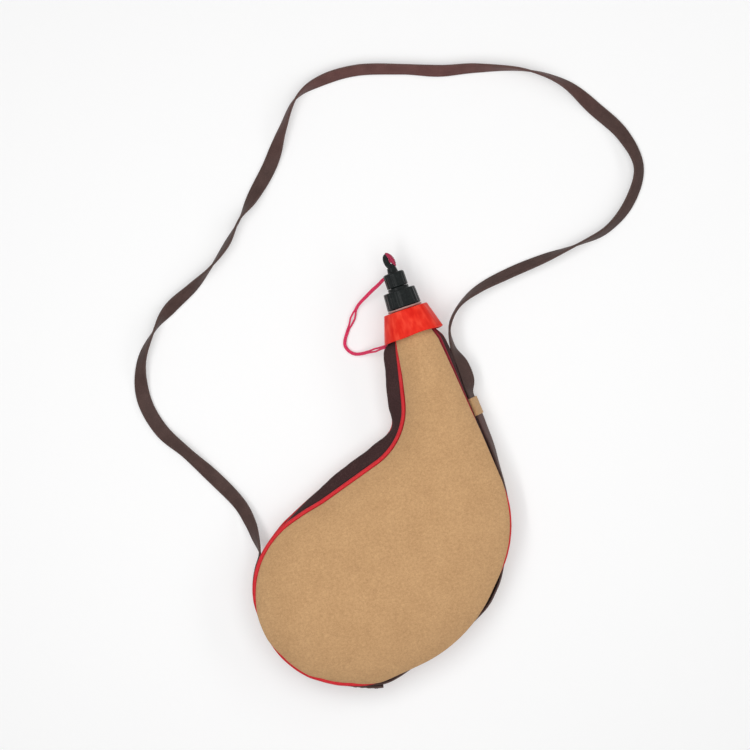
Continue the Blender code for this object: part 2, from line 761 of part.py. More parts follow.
def add_strap_loop(right, mat):
    """A flat sleeve of suede round the strap, its inner edge sewn at the gusset."""
    s = right_station(right, STRAP_LEAVES_SIDE)
    centre, roll = strap_on_rim(s, 1.0)
    outward = Vector((*-s.inward, 0))
    upright = Vector((0, 0, 1))
    across = outward * math.cos(roll) + upright * math.sin(roll)
    face = upright * math.cos(roll) - outward * math.sin(roll)
    along = outward.cross(upright)
    hole_a, hole_b = STRAP_WIDTH / 2 + LOOP_SLACK, STRAP_THICKNESS / 2 + LOOP_SLACK
    sections = []
    for a, b, cut in (
        (hole_a + LOOP_THICKNESS, hole_b + LOOP_THICKNESS, LOOP_THICKNESS),
        (hole_a, hole_b, LOOP_SLACK),
    ):
        sections.append([
            (a - cut, -b), (a, -b + cut), (a, b - cut), (a - cut, b),
            (cut - a, b), (-a, b - cut), (-a, cut - b), (cut - a, -b),
        ])
    rings = []
    for section, half in ((sections[0], -1), (sections[0], 1), (sections[1], 1), (sections[1], -1)):
        shift = along * half * LOOP_LENGTH / 2
        rings.append([centre + shift + across * a + face * b for a, b in section])
    verts, faces = loft(rings, wrap=True)
    return add_object("strap_loop", verts, faces, mat, math.radians(30))


def add_nozzle(mats, axis):
    root_bottom = FLANGE_Y - ROOT_LENGTH
    root = []
    for k in range(ROOT_BARBS):
        low = root_bottom + k * ROOT_LENGTH * 0.7 / ROOT_BARBS
        high = root_bottom + (k + 1) * ROOT_LENGTH * 0.7 / ROOT_BARBS
        root += [(ROOT_RADIUS - ROOT_BARB, low, ""), (ROOT_RADIUS, high - GAP, "")]
    root.append((ROOT_RADIUS - ROOT_BARB, FLANGE_Y, ""))
    profile = root + [(FLANGE_RADIUS, FLANGE_Y, ""), (FLANGE_RADIUS, SHELF_Y, "")]
    profile.append((SPOUT_RADIUS - SPOUT_THREAD_DEPTH, SHELF_Y, ""))
    profile.append((SPOUT_RADIUS - SPOUT_THREAD_DEPTH, RING_Y - RING_PITCH / 2, ""))
    profile += thread_rows(SPOUT_RADIUS, RING_Y, SPOUT_TOP_Y - RING_PITCH / 4, RING_PITCH)
    profile.append((SPOUT_RADIUS - SPOUT_THREAD_DEPTH, SPOUT_TOP_Y, ""))
    profile += [(SPOUT_BORE, SPOUT_TOP_Y, ""), (SPOUT_BORE, root_bottom, "")]
    turned("spout", profile, 24, mats["black"], axis, pitch=RING_PITCH, thread=SPOUT_THREAD_DEPTH)

    clamp_inner = ROOT_RADIUS + GAP + BLADDER_WALL + GAP
    clamp_outer = clamp_inner + CLAMP_WALL
    clamp_top = NECK_END - CLAMP_DROP
    clamp_low = clamp_top - CLAMP_LENGTH
    bead = 0.0004
    profile = [
        (clamp_inner, clamp_low, ""), (clamp_outer - bead, clamp_low, ""), (clamp_outer, clamp_low + bead, ""),
        (clamp_outer, clamp_top - bead, ""), (clamp_outer - bead, clamp_top, ""), (clamp_inner, clamp_top, ""),
    ]
    turned("neck_clamp", profile, 32, mats["steel"], axis)

    bore = SPOUT_RADIUS + RUN_GAP
    roof = COLLAR_HEIGHT - COLLAR_WALL
    slope = (COLLAR_FOOT_RADIUS - COLLAR_TOP_RADIUS) / COLLAR_HEIGHT
    lip = 0.0008
    profile = [
        (COLLAR_FOOT_RADIUS - COLLAR_WALL, 0, ""), (COLLAR_FOOT_RADIUS - lip / 2, 0, ""),
        (COLLAR_FOOT_RADIUS, lip, ""), (COLLAR_TOP_RADIUS + slope * lip, COLLAR_HEIGHT - lip, ""),
        (COLLAR_TOP_RADIUS - lip / 2, COLLAR_HEIGHT, ""), (bore, COLLAR_HEIGHT, ""), (bore, roof, ""),
        (COLLAR_TOP_RADIUS + slope * COLLAR_WALL - COLLAR_WALL, roof, ""),
    ]
    turned("collar", profile, 40, mats["red_plastic"], axis)

    profile = [
        (bore, WASHER_Y, ""), (WASHER_RADIUS, WASHER_Y, ""),
        (WASHER_RADIUS, WASHER_Y + WASHER_THICKNESS, ""), (bore, WASHER_Y + WASHER_THICKNESS, ""),
    ]
    turned("collar_washer", profile, 40, mats["pale"], axis)

    edge = 0.0008
    draft = (RING_FOOT_RADIUS - RING_TOP_RADIUS) * edge / RING_HEIGHT
    profile = [
        (bore, RING_Y, ""), (RING_FOOT_RADIUS - edge, RING_Y, ""), (RING_FOOT_RADIUS, RING_Y + edge, "rib"),
        (RING_TOP_RADIUS + draft, RING_TOP_Y - edge, "rib"), (RING_TOP_RADIUS - edge, RING_TOP_Y, ""),
        (JET_RADIUS - RING_ROOF, RING_TOP_Y, ""), (JET_RADIUS - RING_ROOF, ROOF_Y, ""), (bore, ROOF_Y, ""),
    ]
    ring = turned("fill_ring", profile, RING_RIBS * 4, mats["black"], axis, ribs=RING_RIB_DEPTH)
    profile = [
        (JET_BORE, ROOF_Y, ""), (JET_RADIUS, ROOF_Y, ""), (JET_RADIUS, RING_TOP_Y - RING_ROOF / 2, ""),
        (JET_FLANGE_RADIUS, RING_TOP_Y - RING_ROOF / 2, ""), (JET_FLANGE_RADIUS, JET_FOOT_Y, ""),
        (JET_RADIUS - JET_THREAD_DEPTH, JET_FOOT_Y, ""),
    ]
    profile += thread_rows(JET_RADIUS, JET_FOOT_Y + 2 * GAP, JET_TOP_Y - 2 * GAP, STOPPER_PITCH)
    profile += [(JET_RADIUS - JET_THREAD_DEPTH, JET_TOP_Y, ""), (JET_BORE, JET_TOP_Y, "")]
    shape = {"pitch": STOPPER_PITCH, "thread": JET_THREAD_DEPTH}
    jet = turned("drinking_jet", profile, 24, mats["black"], axis, **shape)
    join_hidden(ring, jet)

    gasket_hole = SPOUT_BORE - 0.0008
    gasket_rim = SPOUT_RADIUS - GAP
    profile = [
        (gasket_hole, GASKET_Y, ""), (gasket_rim, GASKET_Y, ""),
        (gasket_rim, GASKET_Y + GASKET_THICKNESS, ""), (gasket_hole, GASKET_Y + GASKET_THICKNESS, ""),
    ]
    turned("fill_gasket", profile, 32, mats["rubber"], axis)

    liner = JET_RADIUS - GAP
    profile = [
        (0, LINER_Y, ""), (liner, LINER_Y, ""),
        (liner, LINER_Y + LINER_THICKNESS, ""), (0, LINER_Y + LINER_THICKNESS, ""),
    ]
    turned("stopper_liner", profile, 24, mats["pale"], axis)


def add_stopper(mat, axis):
    """Ribbed cap with a blind bore, joined to a short neck and an upright eyelet."""
    bore = JET_RADIUS + RUN_GAP
    edge = 0.0006
    profile = [
        (0, STOPPER_BORE_TOP_Y, ""), (bore, STOPPER_BORE_TOP_Y, ""), (bore, STOPPER_Y, ""),
        (STOPPER_RADIUS - edge, STOPPER_Y, ""), (STOPPER_RADIUS, STOPPER_Y + edge, "rib"),
        (STOPPER_RADIUS, STOPPER_TOP_Y - STOPPER_CHAMFER, "rib"),
        (STOPPER_RADIUS - STOPPER_CHAMFER, STOPPER_TOP_Y, ""), (KNOB_NECK_RADIUS, STOPPER_TOP_Y, ""),
        (KNOB_NECK_RADIUS * 0.85, STOPPER_TOP_Y + KNOB_NECK_HEIGHT, ""),
        (0, STOPPER_TOP_Y + KNOB_NECK_HEIGHT, ""),
    ]
    stopper = turned("stopper", profile, STOPPER_RIBS * 4, mat, axis, ribs=STOPPER_RIB_DEPTH)

    half = EYELET_THICKNESS / 2
    section = [
        (EYELET_HOLE, -half + EYELET_EDGE), (EYELET_HOLE + EYELET_EDGE, -half),
        (EYELET_RADIUS - EYELET_EDGE, -half), (EYELET_RADIUS, -half + EYELET_EDGE),
        (EYELET_RADIUS, half - EYELET_EDGE), (EYELET_RADIUS - EYELET_EDGE, half),
        (EYELET_HOLE + EYELET_EDGE, half), (EYELET_HOLE, half - EYELET_EDGE),
    ]
    rings = []
    for k in range(28):
        angle = 2 * math.pi * k / 28
        rings.append([(r * math.sin(angle), r * math.cos(angle), z) for r, z in section])
    verts, faces = loft(rings, wrap=True)
    place = (0, STOPPER_TOP_Y + EYELET_RISE, 0)
    join_hidden(stopper, add_object("eyelet_ring", verts, faces, mat, math.radians(32), axis, place))


def torus_rings(centre, radial, other, radius, tube, turns, sides):
    """Closed rings of a torus whose plane holds the two given directions."""
    rings = []
    normal = radial.cross(other)
    for k in range(turns):
        angle = 2 * math.pi * k / turns
        out = radial * math.cos(angle) + other * math.sin(angle)
        ring = []
        for s in range(sides):
            a = 2 * math.pi * s / sides
            ring.append(centre + out * (radius + tube * math.cos(a)) + normal * tube * math.sin(a))
        rings.append(ring)
    return rings


def add_tether(mat, axis):
    """The doubled cord, its hitch on the eyelet and its loop round the neck."""
    path = smooth_path(TETHER_ROUTE, 26)
    middle = [Vector(row) for row in path]
    strands = ([], [])
    for k, point in enumerate(middle):
        along = middle[min(k + 1, len(middle) - 1)] - middle[max(k - 1, 0)]
        level = along.cross(Vector((0, 0, 1))).normalized()
        for strand, side in zip(strands, (1, -1)):
            strand.append(point + level * TETHER_SPREAD * side)
    tip_along = (middle[-1] - middle[-2]).normalized()
    tip = middle[-1] + tip_along * TETHER_SPREAD
    first = strands[0][-1].lerp(tip, 0.5) + tip_along * TETHER_SPREAD * 0.2
    second = strands[1][-1].lerp(tip, 0.5) + tip_along * TETHER_SPREAD * 0.2
    hairpin = strands[0] + [first, tip, second] + strands[1][::-1]
    curve = bpy.data.curves.new("tether", "CURVE")
    curve.dimensions = "3D"
    curve.bevel_depth = TETHER_RADIUS
    curve.bevel_resolution = 2
    curve.use_fill_caps = True
    spline = curve.splines.new("POLY")
    spline.points.add(len(hairpin) - 1)
    for target, point in zip(spline.points, hairpin):
        target.co = (*point, 1)
    curve.materials.append(mat)
    bpy.context.scene.collection.objects.link(bpy.data.objects.new("tether", curve))

    reach = (EYELET_RADIUS + EYELET_HOLE) / 2
    radial = Vector((math.sin(KNOT_ANGLE), math.cos(KNOT_ANGLE), 0))
    centre = Vector((0, STOPPER_TOP_Y + EYELET_RISE, 0)) + radial * reach
    rings = torus_rings(centre, radial, Vector((0, 0, 1)), KNOT_RADIUS, TETHER_RADIUS, 18, 6)
    verts, faces = loft(rings, wrap=True)
    add_object("tether_hitch", verts, faces, mat, parent=axis)

    centre = Vector((0, ANCHOR_RISE, 0))
    across, upright = Vector((1, 0, 0)), Vector((0, 0, 1))
    rings = torus_rings(centre, across, upright, ANCHOR_RADIUS, TETHER_RADIUS, 32, 6)
    verts, faces = loft(rings, wrap=True)
    add_object("tether_anchor", verts, faces, mat, parent=axis)


def main():
    clear_scene()
    mats = {
        "suede": make_material("tan_suede", (0.56, 0.33, 0.16), 0.92),
        "red": make_material("red_piping", (0.60, 0.03, 0.04), 0.45),
        "brown": make_material("brown_band", (0.08, 0.045, 0.04), 0.70),
        "strap": make_material("brown_strap", (0.075, 0.042, 0.04), 0.55),
        "bladder": make_material("bladder_film", (0.35, 0.30, 0.24), 0.40),
        "black": make_material("black_plastic", (0.016, 0.020, 0.020), 0.38),
        "red_plastic": make_material("red_plastic", (0.80, 0.035, 0.015), 0.22),
        "pale": make_material("pale_washer", (0.72, 0.62, 0.60), 0.50),
        "rubber": make_material("gasket_rubber", (0.25, 0.24, 0.23), 0.80),
        "steel": make_material("clamp_steel", (0.55, 0.56, 0.57), 0.35, 1.0),
        "tether": make_material("red_cord", (0.62, 0.025, 0.09), 0.60),
        "thread": make_material("brown_thread", (0.05, 0.03, 0.028), 0.80),
    }
    left_points, right_points = bag_outline()
    left = Side(left_points, 1.0)
    right = Side(right_points, -1.0)
    down, up = rim_stations(left, right)
    stations = down + up[-2::-1]

    front_rows, front_tips = panel_grid(down, up, True)
    back_rows, back_tips = panel_grid(down, up, False)
    add_panel("front_panel", front_rows, front_tips, -PANEL_THICKNESS, mats["suede"])
    add_panel("back_panel", back_rows, back_tips, PANEL_THICKNESS, mats["suede"])
    add_bladder(front_rows, back_rows, front_tips, back_tips, mats["bladder"])
    add_piping("front_piping", stations, True, mats["red"])
    add_piping("back_piping", stations, False, mats["red"])
    add_gusset(stations, mats["brown"])

    heel_end, loop_end = add_rim_strap(left, right, mats["strap"])
    add_free_strap(heel_end, loop_end, mats["strap"])
    add_lap(right, mats["strap"], mats["thread"])
    add_strap_loop(right, mats["suede"])

    axis = bpy.data.objects.new("nozzle_axis", None)
    bpy.context.scene.collection.objects.link(axis)
    axis.location = (AXIS_X, COLLAR_Y, AXIS_Z)
    add_nozzle(mats, axis)
    add_stopper(mats["black"], axis)
    add_tether(mats["tether"], axis)


main()
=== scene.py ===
# %% [markdown]
# # A curved leather wine bag with its shoulder strap
#
# The real thing is a flat kidney-shaped bag: two suede panels sewn to a dark band through a red
# piping, lined with a bladder, and closed by a screwed plastic nozzle under a red collar. The
# measured solids are loaded first as a fixed frame. Each cell then dresses one piece of it in
# finer geometry, from the same named sizes, so that the dressed pieces lie where the solids are.

# %% Load the measured frame
import math

import bmesh
import bpy
import numpy as np
from mathutils import Matrix, Vector, noise


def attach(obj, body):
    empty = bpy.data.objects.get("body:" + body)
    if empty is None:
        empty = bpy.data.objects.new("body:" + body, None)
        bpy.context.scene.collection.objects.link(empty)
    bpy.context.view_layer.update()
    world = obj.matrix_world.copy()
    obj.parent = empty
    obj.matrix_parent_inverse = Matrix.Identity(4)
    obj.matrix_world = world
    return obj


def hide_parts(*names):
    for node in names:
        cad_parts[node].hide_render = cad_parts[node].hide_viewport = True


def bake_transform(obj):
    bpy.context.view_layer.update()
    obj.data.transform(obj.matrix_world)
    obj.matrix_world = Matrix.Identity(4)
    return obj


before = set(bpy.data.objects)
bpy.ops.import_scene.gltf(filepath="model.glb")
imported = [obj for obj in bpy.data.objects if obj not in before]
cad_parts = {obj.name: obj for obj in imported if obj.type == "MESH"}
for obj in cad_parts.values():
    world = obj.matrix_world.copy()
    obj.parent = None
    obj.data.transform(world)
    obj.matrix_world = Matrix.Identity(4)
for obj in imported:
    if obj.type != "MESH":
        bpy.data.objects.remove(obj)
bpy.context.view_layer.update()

# %% [markdown]
# ## The camera
#
# The bag was photographed from straight above, turned a little so that its nozzle leans to the
# right. A long lens from two metres up keeps the outline free of perspective, and the picture is
# 514 mm wide at the height of the rim.

# %% Set the camera over the bag
CAMERA_PLACE = (0.03125, 0.13035, 2.0)
CAMERA_TURN = math.radians(-18.5)
RIM_HEIGHT = 0.012
PICTURE_WIDTH = 0.5137
SENSOR_WIDTH = 36.0

lens = bpy.data.cameras.new("overhead_camera")
lens.sensor_width = SENSOR_WIDTH
lens.lens = SENSOR_WIDTH * (CAMERA_PLACE[2] - RIM_HEIGHT) / PICTURE_WIDTH
lens.clip_start, lens.clip_end = 0.05, 20.0
camera = bpy.data.objects.new("overhead_camera", lens)
camera.location, camera.rotation_euler = CAMERA_PLACE, (0, 0, CAMERA_TURN)
bpy.context.scene.collection.objects.link(camera)
bpy.context.scene.camera = camera
print("camera lens", round(lens.lens, 1), "mm")

# %% [markdown]
# ## The outline of the bag
#
# Everything soft hangs on one outline: a row of corners with round fillets, as a pattern maker
# would draw it. It is split at the heel into a left and a right side, and each side is walked by
# its length from the neck, so that a place on the seam is one number.

# %% Draw the outline
AXIS_X, AXIS_Z = 0.065, 0.021  # the nozzle's axis
COLLAR_Y = 0.1477  # the collar's lower edge
NECK_TUCK, SHOULDER_DROP = 0.0018, 0.0085
NECK_END_Y = COLLAR_Y + NECK_TUCK  # the neck ends inside the collar
SHOULDER_Y = NECK_END_Y - SHOULDER_DROP
OUTLINE = (  # corners: x, y and the radius of the fillet
    (AXIS_X - 0.0135, NECK_END_Y, 0),
    (AXIS_X - 0.0158, SHOULDER_Y, 0.006),
    (0.0358, 0.0827, 0.0428),
    (-0.0963, 0.0418, 0.0570),
    (-0.0998, -0.0784, 0.0663),
    (0.0341, -0.0631, 0.0977),
    (0.0933, 0.0008, 0.0784),
    (AXIS_X + 0.0166, SHOULDER_Y, 0.006),
    (AXIS_X + 0.0140, NECK_END_Y, 0),
)
HEEL_FILLET = 3  # which fillet holds the heel's end


def unit(vectors):
    """The same directions with the length 1."""
    return vectors / np.linalg.norm(vectors, axis=-1, keepdims=True)


def fillet_points(corners, step=math.radians(4), finer=1):
    """Points along a path of corners (x, y, radius), and the middle of each fillet."""
    points, middles = [np.array(corners[0][:2])], []
    for before, at, after in zip(corners, corners[1:], corners[2:]):
        p, q, s = (np.array(c[:2]) for c in (before, at, after))
        to_p, to_s = unit(p - q), unit(s - q)
        half = math.acos(float(np.clip(to_p @ to_s, -1, 1))) / 2
        if at[2] == 0 or half > math.radians(89.9):  # a sharp corner, or none
            points.append(q)
            middles.append(len(points) - 1)
            continue
        centre = q + unit(to_p + to_s) * at[2] / math.sin(half)
        start, end = q + to_p * at[2] / math.tan(half), q + to_s * at[2] / math.tan(half)
        first = math.atan2(*(start - centre)[::-1])
        turn = (math.atan2(*(end - centre)[::-1]) - first + math.pi) % (2 * math.pi) - math.pi
        count = max(2, math.ceil(abs(turn) / step))
        middles.append(len(points) + finer * (count // 2))
        for k in range(finer * count + 1):
            angle = first + turn * k / (finer * count)
            points.append(centre + at[2] * np.array([math.cos(angle), math.sin(angle)]))
    points.append(np.array(corners[-1][:2]))
    return np.array(points), middles


outline, middles = fillet_points(OUTLINE, finer=4)
heel = middles[HEEL_FILLET]
print("outline has", len(outline), "points and its heel at", np.round(outline[heel], 3))


# %% Split it at the heel, and write down how each side bulges and is sewn
def metres(*rows):
    """The rows of a table that is written in millimetres."""
    return [tuple(value / 1000 for value in row) for row in rows]


def walked(points):
    """The length along a row of points, up to each of them."""
    return np.concatenate(([0], np.cumsum(np.linalg.norm(np.diff(points, axis=0), axis=1))))


class Side:
    """One side of the outline, walked by its length from the neck."""

    def __init__(self, points, turn, fullness, seam):
        self.points, self.turn, self.fullness, self.seam = points, turn, fullness, seam
        self.walk = walked(points)
        self.length = self.walk[-1]

    def at(self, distance):
        """The point of the outline at each distance."""
        return np.stack([np.interp(distance, self.walk, self.points[:, k]) for k in (0, 1)], -1)

    def inward(self, distance, reach=0.004):
        """The direction into the bag at each distance."""
        after, before = np.minimum(distance + reach, self.length), np.maximum(distance - reach, 0)
        along = unit(self.at(after) - self.at(before))
        return self.turn * np.stack((-along[..., 1], along[..., 0]), -1)


# How far the band bulges out: (distance from the neck, bulge)
LEFT_FULLNESS = metres(
    (0, 1.8), (2, 5.8), (5, 8.9), (10.5, 10.2), (46, 10.2), (62, 5.4), (82, 10.4), (115, 9.7),
    (140, 6.8), (158, 3.6), (175, 0), (205, 0), (222, -0.9), (260, -1.3),
)
RIGHT_FULLNESS = metres(
    (0, 0.3), (9, 4.4), (20, 5), (34, 4.2), (50, 3), (75, 3.4), (92, 3.6), (110, 2.6), (130, 0),
    (172, 0), (186, 3.3), (203, 3.3), (221, -0.4), (272, -0.4), (281, 1.4), (291, 2.2), (298, 1.2),
    (306, -0.6), (316, -1.2), (345, -1.3),
)
# How the seam shows: (distance, inset of the panel's edge, inset of the piping, how deep it sits)
LEFT_SEAM = metres(
    (0, 1.2, 1.8, 2), (12, 2.4, 2, 1.7), (26, 3.6, 2.2, 0.9), (40, 4, 2.3, 0), (134, 3.8, 2.2, 0),
    (148, 2.6, 1, 0), (160, 2.4, 0.8, 0), (178, 3, 1.5, 0), (200, 3, 1.5, 0), (214, 2.7, 1.4, 0),
    (224, 2.2, 1.6, 0.4), (234, 1.2, 2.4, 1.4), (252, 1.2, 2.5, 1.4), (266, 2.6, 2.2, 0.6),
)
RIGHT_SEAM = metres(
    (0, 2.2, 1.2, 1.6), (12, 2, 1, 1.4), (30, 1.4, 1, 1.2), (62, 0.8, 1.2, 1), (78, 0.3, 1.8, 1.4),
    (116, 0.3, 1.8, 1.4), (130, 1.1, 1.1, 0.6), (172, 1.1, 1.1, 0.6), (182, 0.4, 1.6, 1.5),
    (230, 0.8, 2, 1.5), (296, 1, 2.2, 1.5), (306, 2.4, 2.3, 0.6), (316, 4.1, 2.9, 0), (338, 4, 2.9, 0),
    (346.8, 2.6, 2.2, 0.6),
)

LEFT = Side(outline[: heel + 1], 1.0, LEFT_FULLNESS, LEFT_SEAM)
RIGHT = Side(outline[heel:][::-1], -1.0, RIGHT_FULLNESS, RIGHT_SEAM)
print("sides are", *(round(side.length * 1000, 1) for side in (LEFT, RIGHT)), "mm long")

# %% [markdown]
# ## Stations on the rim
#
# At each station on the rim both pipings, the band and the strap have their place. The rim is
# higher at the neck, which stands on the nozzle, and falls to the height of the full belly.

# %% Heights and insets along the rim
RIM_BIAS = 1.25  # stations lie closer together at the neck
FALL_SHARE = 0.34  # share of the stations over which the neck becomes the belly
NECK_RIMS, BELLY_RIMS = (0.0285, 0.0135), (0.0225, 0.0075)  # front rim, back rim
GAP, CLEAR = 0.0003, 0.0001  # between pieces that touch on the real bag, and above the table
PIPING_RADIUS, GUSSET_LAP = 0.0015, 0.0010
EDGE_INSET = 2 * PIPING_RADIUS + GAP  # of the panels' edges, where the seam is tight
GUSSET_INSET = 2 * PIPING_RADIUS - GUSSET_LAP
BACK_RIM_SHARE = 0.7  # share of the bulge that the back rim follows
HEEL_NORMAL = unit(LEFT.inward(LEFT.length) + RIGHT.inward(RIGHT.length))


def ease(share):
    """A share from 0 to 1 that starts and ends gently."""
    share = np.clip(share, 0.0, 1.0)
    return share * share * (3 - 2 * share)


def eased_table(distance, table, reach=0.004):
    """A table's value at each distance, with its corners rounded off."""
    near = [np.interp(distance + reach * k, *zip(*table)) for k in (-1, -0.5, 0, 0.5, 1)]
    return np.mean(near, axis=0)


class Stations:
    """Places along one side of the rim, or round all of it, as arrays."""

    def __init__(self, side, distances, fall=None):
        d = np.asarray(distances, float)
        self.distance, self.point, self.inward = d, side.at(d), side.inward(d)
        self.inward[d > side.length - 1e-6] = HEEL_NORMAL
        self.share = (d / side.length) ** (1 / RIM_BIAS) if fall is None else np.full(len(d), fall)
        fallen = ease(self.share / FALL_SHARE)
        self.front_z, self.back_z = (n + (b - n) * fallen for n, b in zip(NECK_RIMS, BELLY_RIMS))
        self.bulge = eased_table(d, side.fullness)
        places, *columns = zip(*side.seam)
        self.edge, self.cord, self.sunk = (np.interp(d, places, c) for c in columns)

    def place(self, inset, z, out=0.0):
        """Points this far inside the outline, moved outward, at the given heights."""
        same = 0 * self.distance
        flat = self.point + self.inward * (inset - out + same)[:, None]
        return np.column_stack((flat, z + same))


def round_rim(count):
    """Stations down the left side, round the heel's end and up the right side."""
    shares = (np.arange(count + 1) / count) ** RIM_BIAS
    down, up = (Stations(side, shares * side.length) for side in (LEFT, RIGHT))
    for name, value in vars(down).items():
        other = getattr(up, name)
        setattr(down, name, np.concatenate((value, other[-2::-1])))
    down.walk = walked(down.point)
    return down


RIM_STATIONS = 170  # on each side
rim = round_rim(RIM_STATIONS)
print("rim is", round(rim.walk[-1] * 1000), "mm long round the heel")

# %% [markdown]
# ## Helpers for soft goods
#
# A strap, a cord and a piping are all one section carried along a path. The path is a smooth
# curve through a few measured points, and rings of points square to it are joined by faces.
# Each piece is linked, shaded smooth and tied to the body that it moves with.

# %% Paths, lofts and pieces
def smooth_path(points, count):
    """Evenly spaced rows on a Catmull-Rom curve through rows of numbers."""
    rows = np.array(points, float)
    rows = np.vstack((2 * rows[0] - rows[1], rows, 2 * rows[-1] - rows[-2]))
    p0, p1, p2, p3 = (rows[k : len(rows) - 3 + k, None] for k in range(4))
    a, b = -p0 + 3 * p1 - 3 * p2 + p3, 2 * p0 - 5 * p1 + 4 * p2 - p3
    t = np.linspace(0, 1, 24, endpoint=False)[:, None]
    dense = 0.5 * (a * t**3 + b * t**2 + (p2 - p0) * t + 2 * p1)
    dense = np.vstack((dense.reshape(-1, rows.shape[1]), rows[-2]))
    walk = walked(dense[:, :3])
    return np.stack([np.interp(np.linspace(0, walk[-1], count), walk, row) for row in dense.T], -1)


def loft(rings, wrap=False, caps=False):
    """Verts and faces through rings of points. A ring of one point is a pole."""
    starts = np.cumsum([0] + [len(ring) for ring in rings]).tolist()
    spans = [range(start, end) for start, end in zip(starts, starts[1:])]
    faces = []
    for near, far in zip(spans, spans[1:] + spans[:1] if wrap else spans[1:]):
        count = max(len(near), len(far))
        for k in range(count):
            corners = [(near, k), (far, k), (far, k + 1), (near, k + 1)]
            faces.append(tuple(dict.fromkeys(span[i % len(span)] for span, i in corners)))
    if caps:
        faces += [tuple(spans[0]), tuple(spans[-1])]
    return [tuple(p) for ring in rings for p in ring], faces


def make_piece(name, shape, body, stands_for=(), sharp=50, marks=None):
    """A shaded mesh piece on its body. Marks are named numbers, one for each vertex."""
    mesh = bpy.data.meshes.new(name)
    mesh.from_pydata([tuple(map(float, v)) for v in shape[0]], [], shape[1])
    solid = bmesh.new()
    solid.from_mesh(mesh)
    bmesh.ops.recalc_face_normals(solid, faces=solid.faces)
    solid.to_mesh(mesh)
    solid.free()
    for mark, values in (marks or {}).items():
        mesh.attributes.new(mark, "FLOAT", "POINT").data.foreach_set("value", np.ravel(values))
    mesh.shade_smooth()
    mesh.set_sharp_from_angle(angle=math.radians(sharp))
    piece = bpy.data.objects.new(name, mesh)
    bpy.context.scene.collection.objects.link(piece)
    if body:
        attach(piece, body)
    if stands_for:
        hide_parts(*stands_for)
    return piece


# %% Sections, marks and waves
def swept(points, level, face, section):
    """Rings of a section (across, up) carried along points, by its two directions at each."""
    return points[:, None] + section[:, :1] * level[:, None] + section[:, 1:] * face[:, None]


def level_frame(points):
    """A level direction square to a path at each point, and the one square to both."""
    along = unit(np.gradient(points, axis=0))
    level = unit(np.cross(along, (0, 0, 1)))
    return level, np.cross(level, along)


def round_section(radius, sides):
    """A circle's section (across, up)."""
    angles = 2 * np.pi * (np.arange(sides) + 0.5) / sides
    return np.column_stack((np.cos(angles), np.sin(angles))) * radius


def marks_of(rings):
    """For each vertex of a tube, how far along it is and where round it, from 0 to 1."""
    count, sides = rings.shape[:2]
    around = np.tile(np.arange(sides) / sides, count)
    return {"along": np.repeat(walked(rings.mean(1)), sides), "around": around}


def waves(points, *layers):
    """Smooth noise at each point, in layers of (height, size of its lumps, seed)."""
    total = np.zeros(len(points))
    for height, size, seed in layers:
        shift = Vector((seed, 1.7 * seed, -seed))
        total += height * np.array([noise.noise(Vector(p) / size + shift) for p in points])
    return total


# %% [markdown]
# ## The shoulder strap
#
# The strap is one long strip of soft dark leather, 10 mm wide. It leaves the seam at the heel,
# wanders round in a wide loop on the table, now flat and now on its edge, and comes back to the
# suede keeper beside the neck. It is a flat cord of a real length, so it is modelled directly:
# a thin section with rounded edges and a pressed line near each edge is carried along the
# route, and rolls as the real strip twists.

# %% Lay the strap's route
STRAP_WIDTH, STRAP_THICKNESS, STRAP_LIFT = 0.0100, 0.0015, 0.0002
STRAP_STEPS, RIM_STEPS = 520, (48, 190)
STRAP_LEAVES_HEEL = 0.196  # along the left side
STRAP_LEAVES_SIDE = 0.062  # along the right side: the keeper's middle
STRAP_SWINGS_OUT = 0.062
KEEPER_ROLL = math.radians(66)
KEEPER_LENGTH, KEEPER_STANDOFF, KEEPER_DROP = 0.0125, 0.0038, 0.0025
# How far the strap on the rim stands out: (distance from the neck, reach)
LEFT_SLACK = metres((198, 0.9), (214, 0.4), (226, -0.4), (262, -0.8))
RIGHT_SLACK = metres(
    (78, 0), (92, 1.1), (118, 1.2), (134, 0), (172, 0), (186, 3), (203, 3), (221, -0.4), (272, -0.3),
    (280, 1.4), (290, 2.2), (297, 1.6), (304, 0), (312, -1), (322, -1.2), (345, -1),
)
GROOVE_INSET = GUSSET_INSET - GAP - STRAP_THICKNESS / 2
HEEL_RUN, KEEPER_RUN = 0.006, KEEPER_LENGTH * 0.8  # it goes straight on this far at its two ends
# In millimetres: x, y, roll in degrees, and its middle's height where it is off the table
STRAP_ROUTE = (
    (-81.8, 50, 62, 11.5), (-82.2, 62, 38, 6.8), (-85.6, 77, 26, 3.6), (-96.2, 98.7, 16),
    (-108.6, 120.7, 38), (-120.6, 141.7, 14), (-124.8, 166, 12), (-118, 190, 52), (-102, 208.3, 90),
    (-87, 219, 140), (-69, 227.1, 126), (-53.6, 235.6, 92), (-37.2, 247.7, 70), (-23.2, 261.2, 88),
    (-9.2, 273.4, 36), (8.8, 290.5, 12), (24.6, 310.8, 58), (40, 328, 88), (60, 334, 128),
    (86, 333, 132), (115, 324, 127), (140, 314.5, 134), (164.3, 308.3, 118), (195.4, 296.6, 88),
    (218, 279.5, 56), (232.9, 256.2, 6), (245.4, 233, 22), (248.6, 208.4, 44), (235, 187.8, 46),
    (214.5, 174.8, 66), (192.1, 171.2, 88), (167, 169.5, 124), (141, 167.5, 134), (118, 164, 118, 5.8),
    (101, 157, 96, 8.5), (90.3, 145.5, 90, 12), (87.8, 131, 72, 14.2), (90.2, 118.5, 34, 14.6),
    (90.6, 107.5, 30, 14),
)


def lowest(roll):
    """Height of the strap's middle where its lower edge lies on the table."""
    tall = STRAP_WIDTH * np.abs(np.sin(roll)) + STRAP_THICKNESS * np.abs(np.cos(roll))
    return STRAP_LIFT + tall / 2


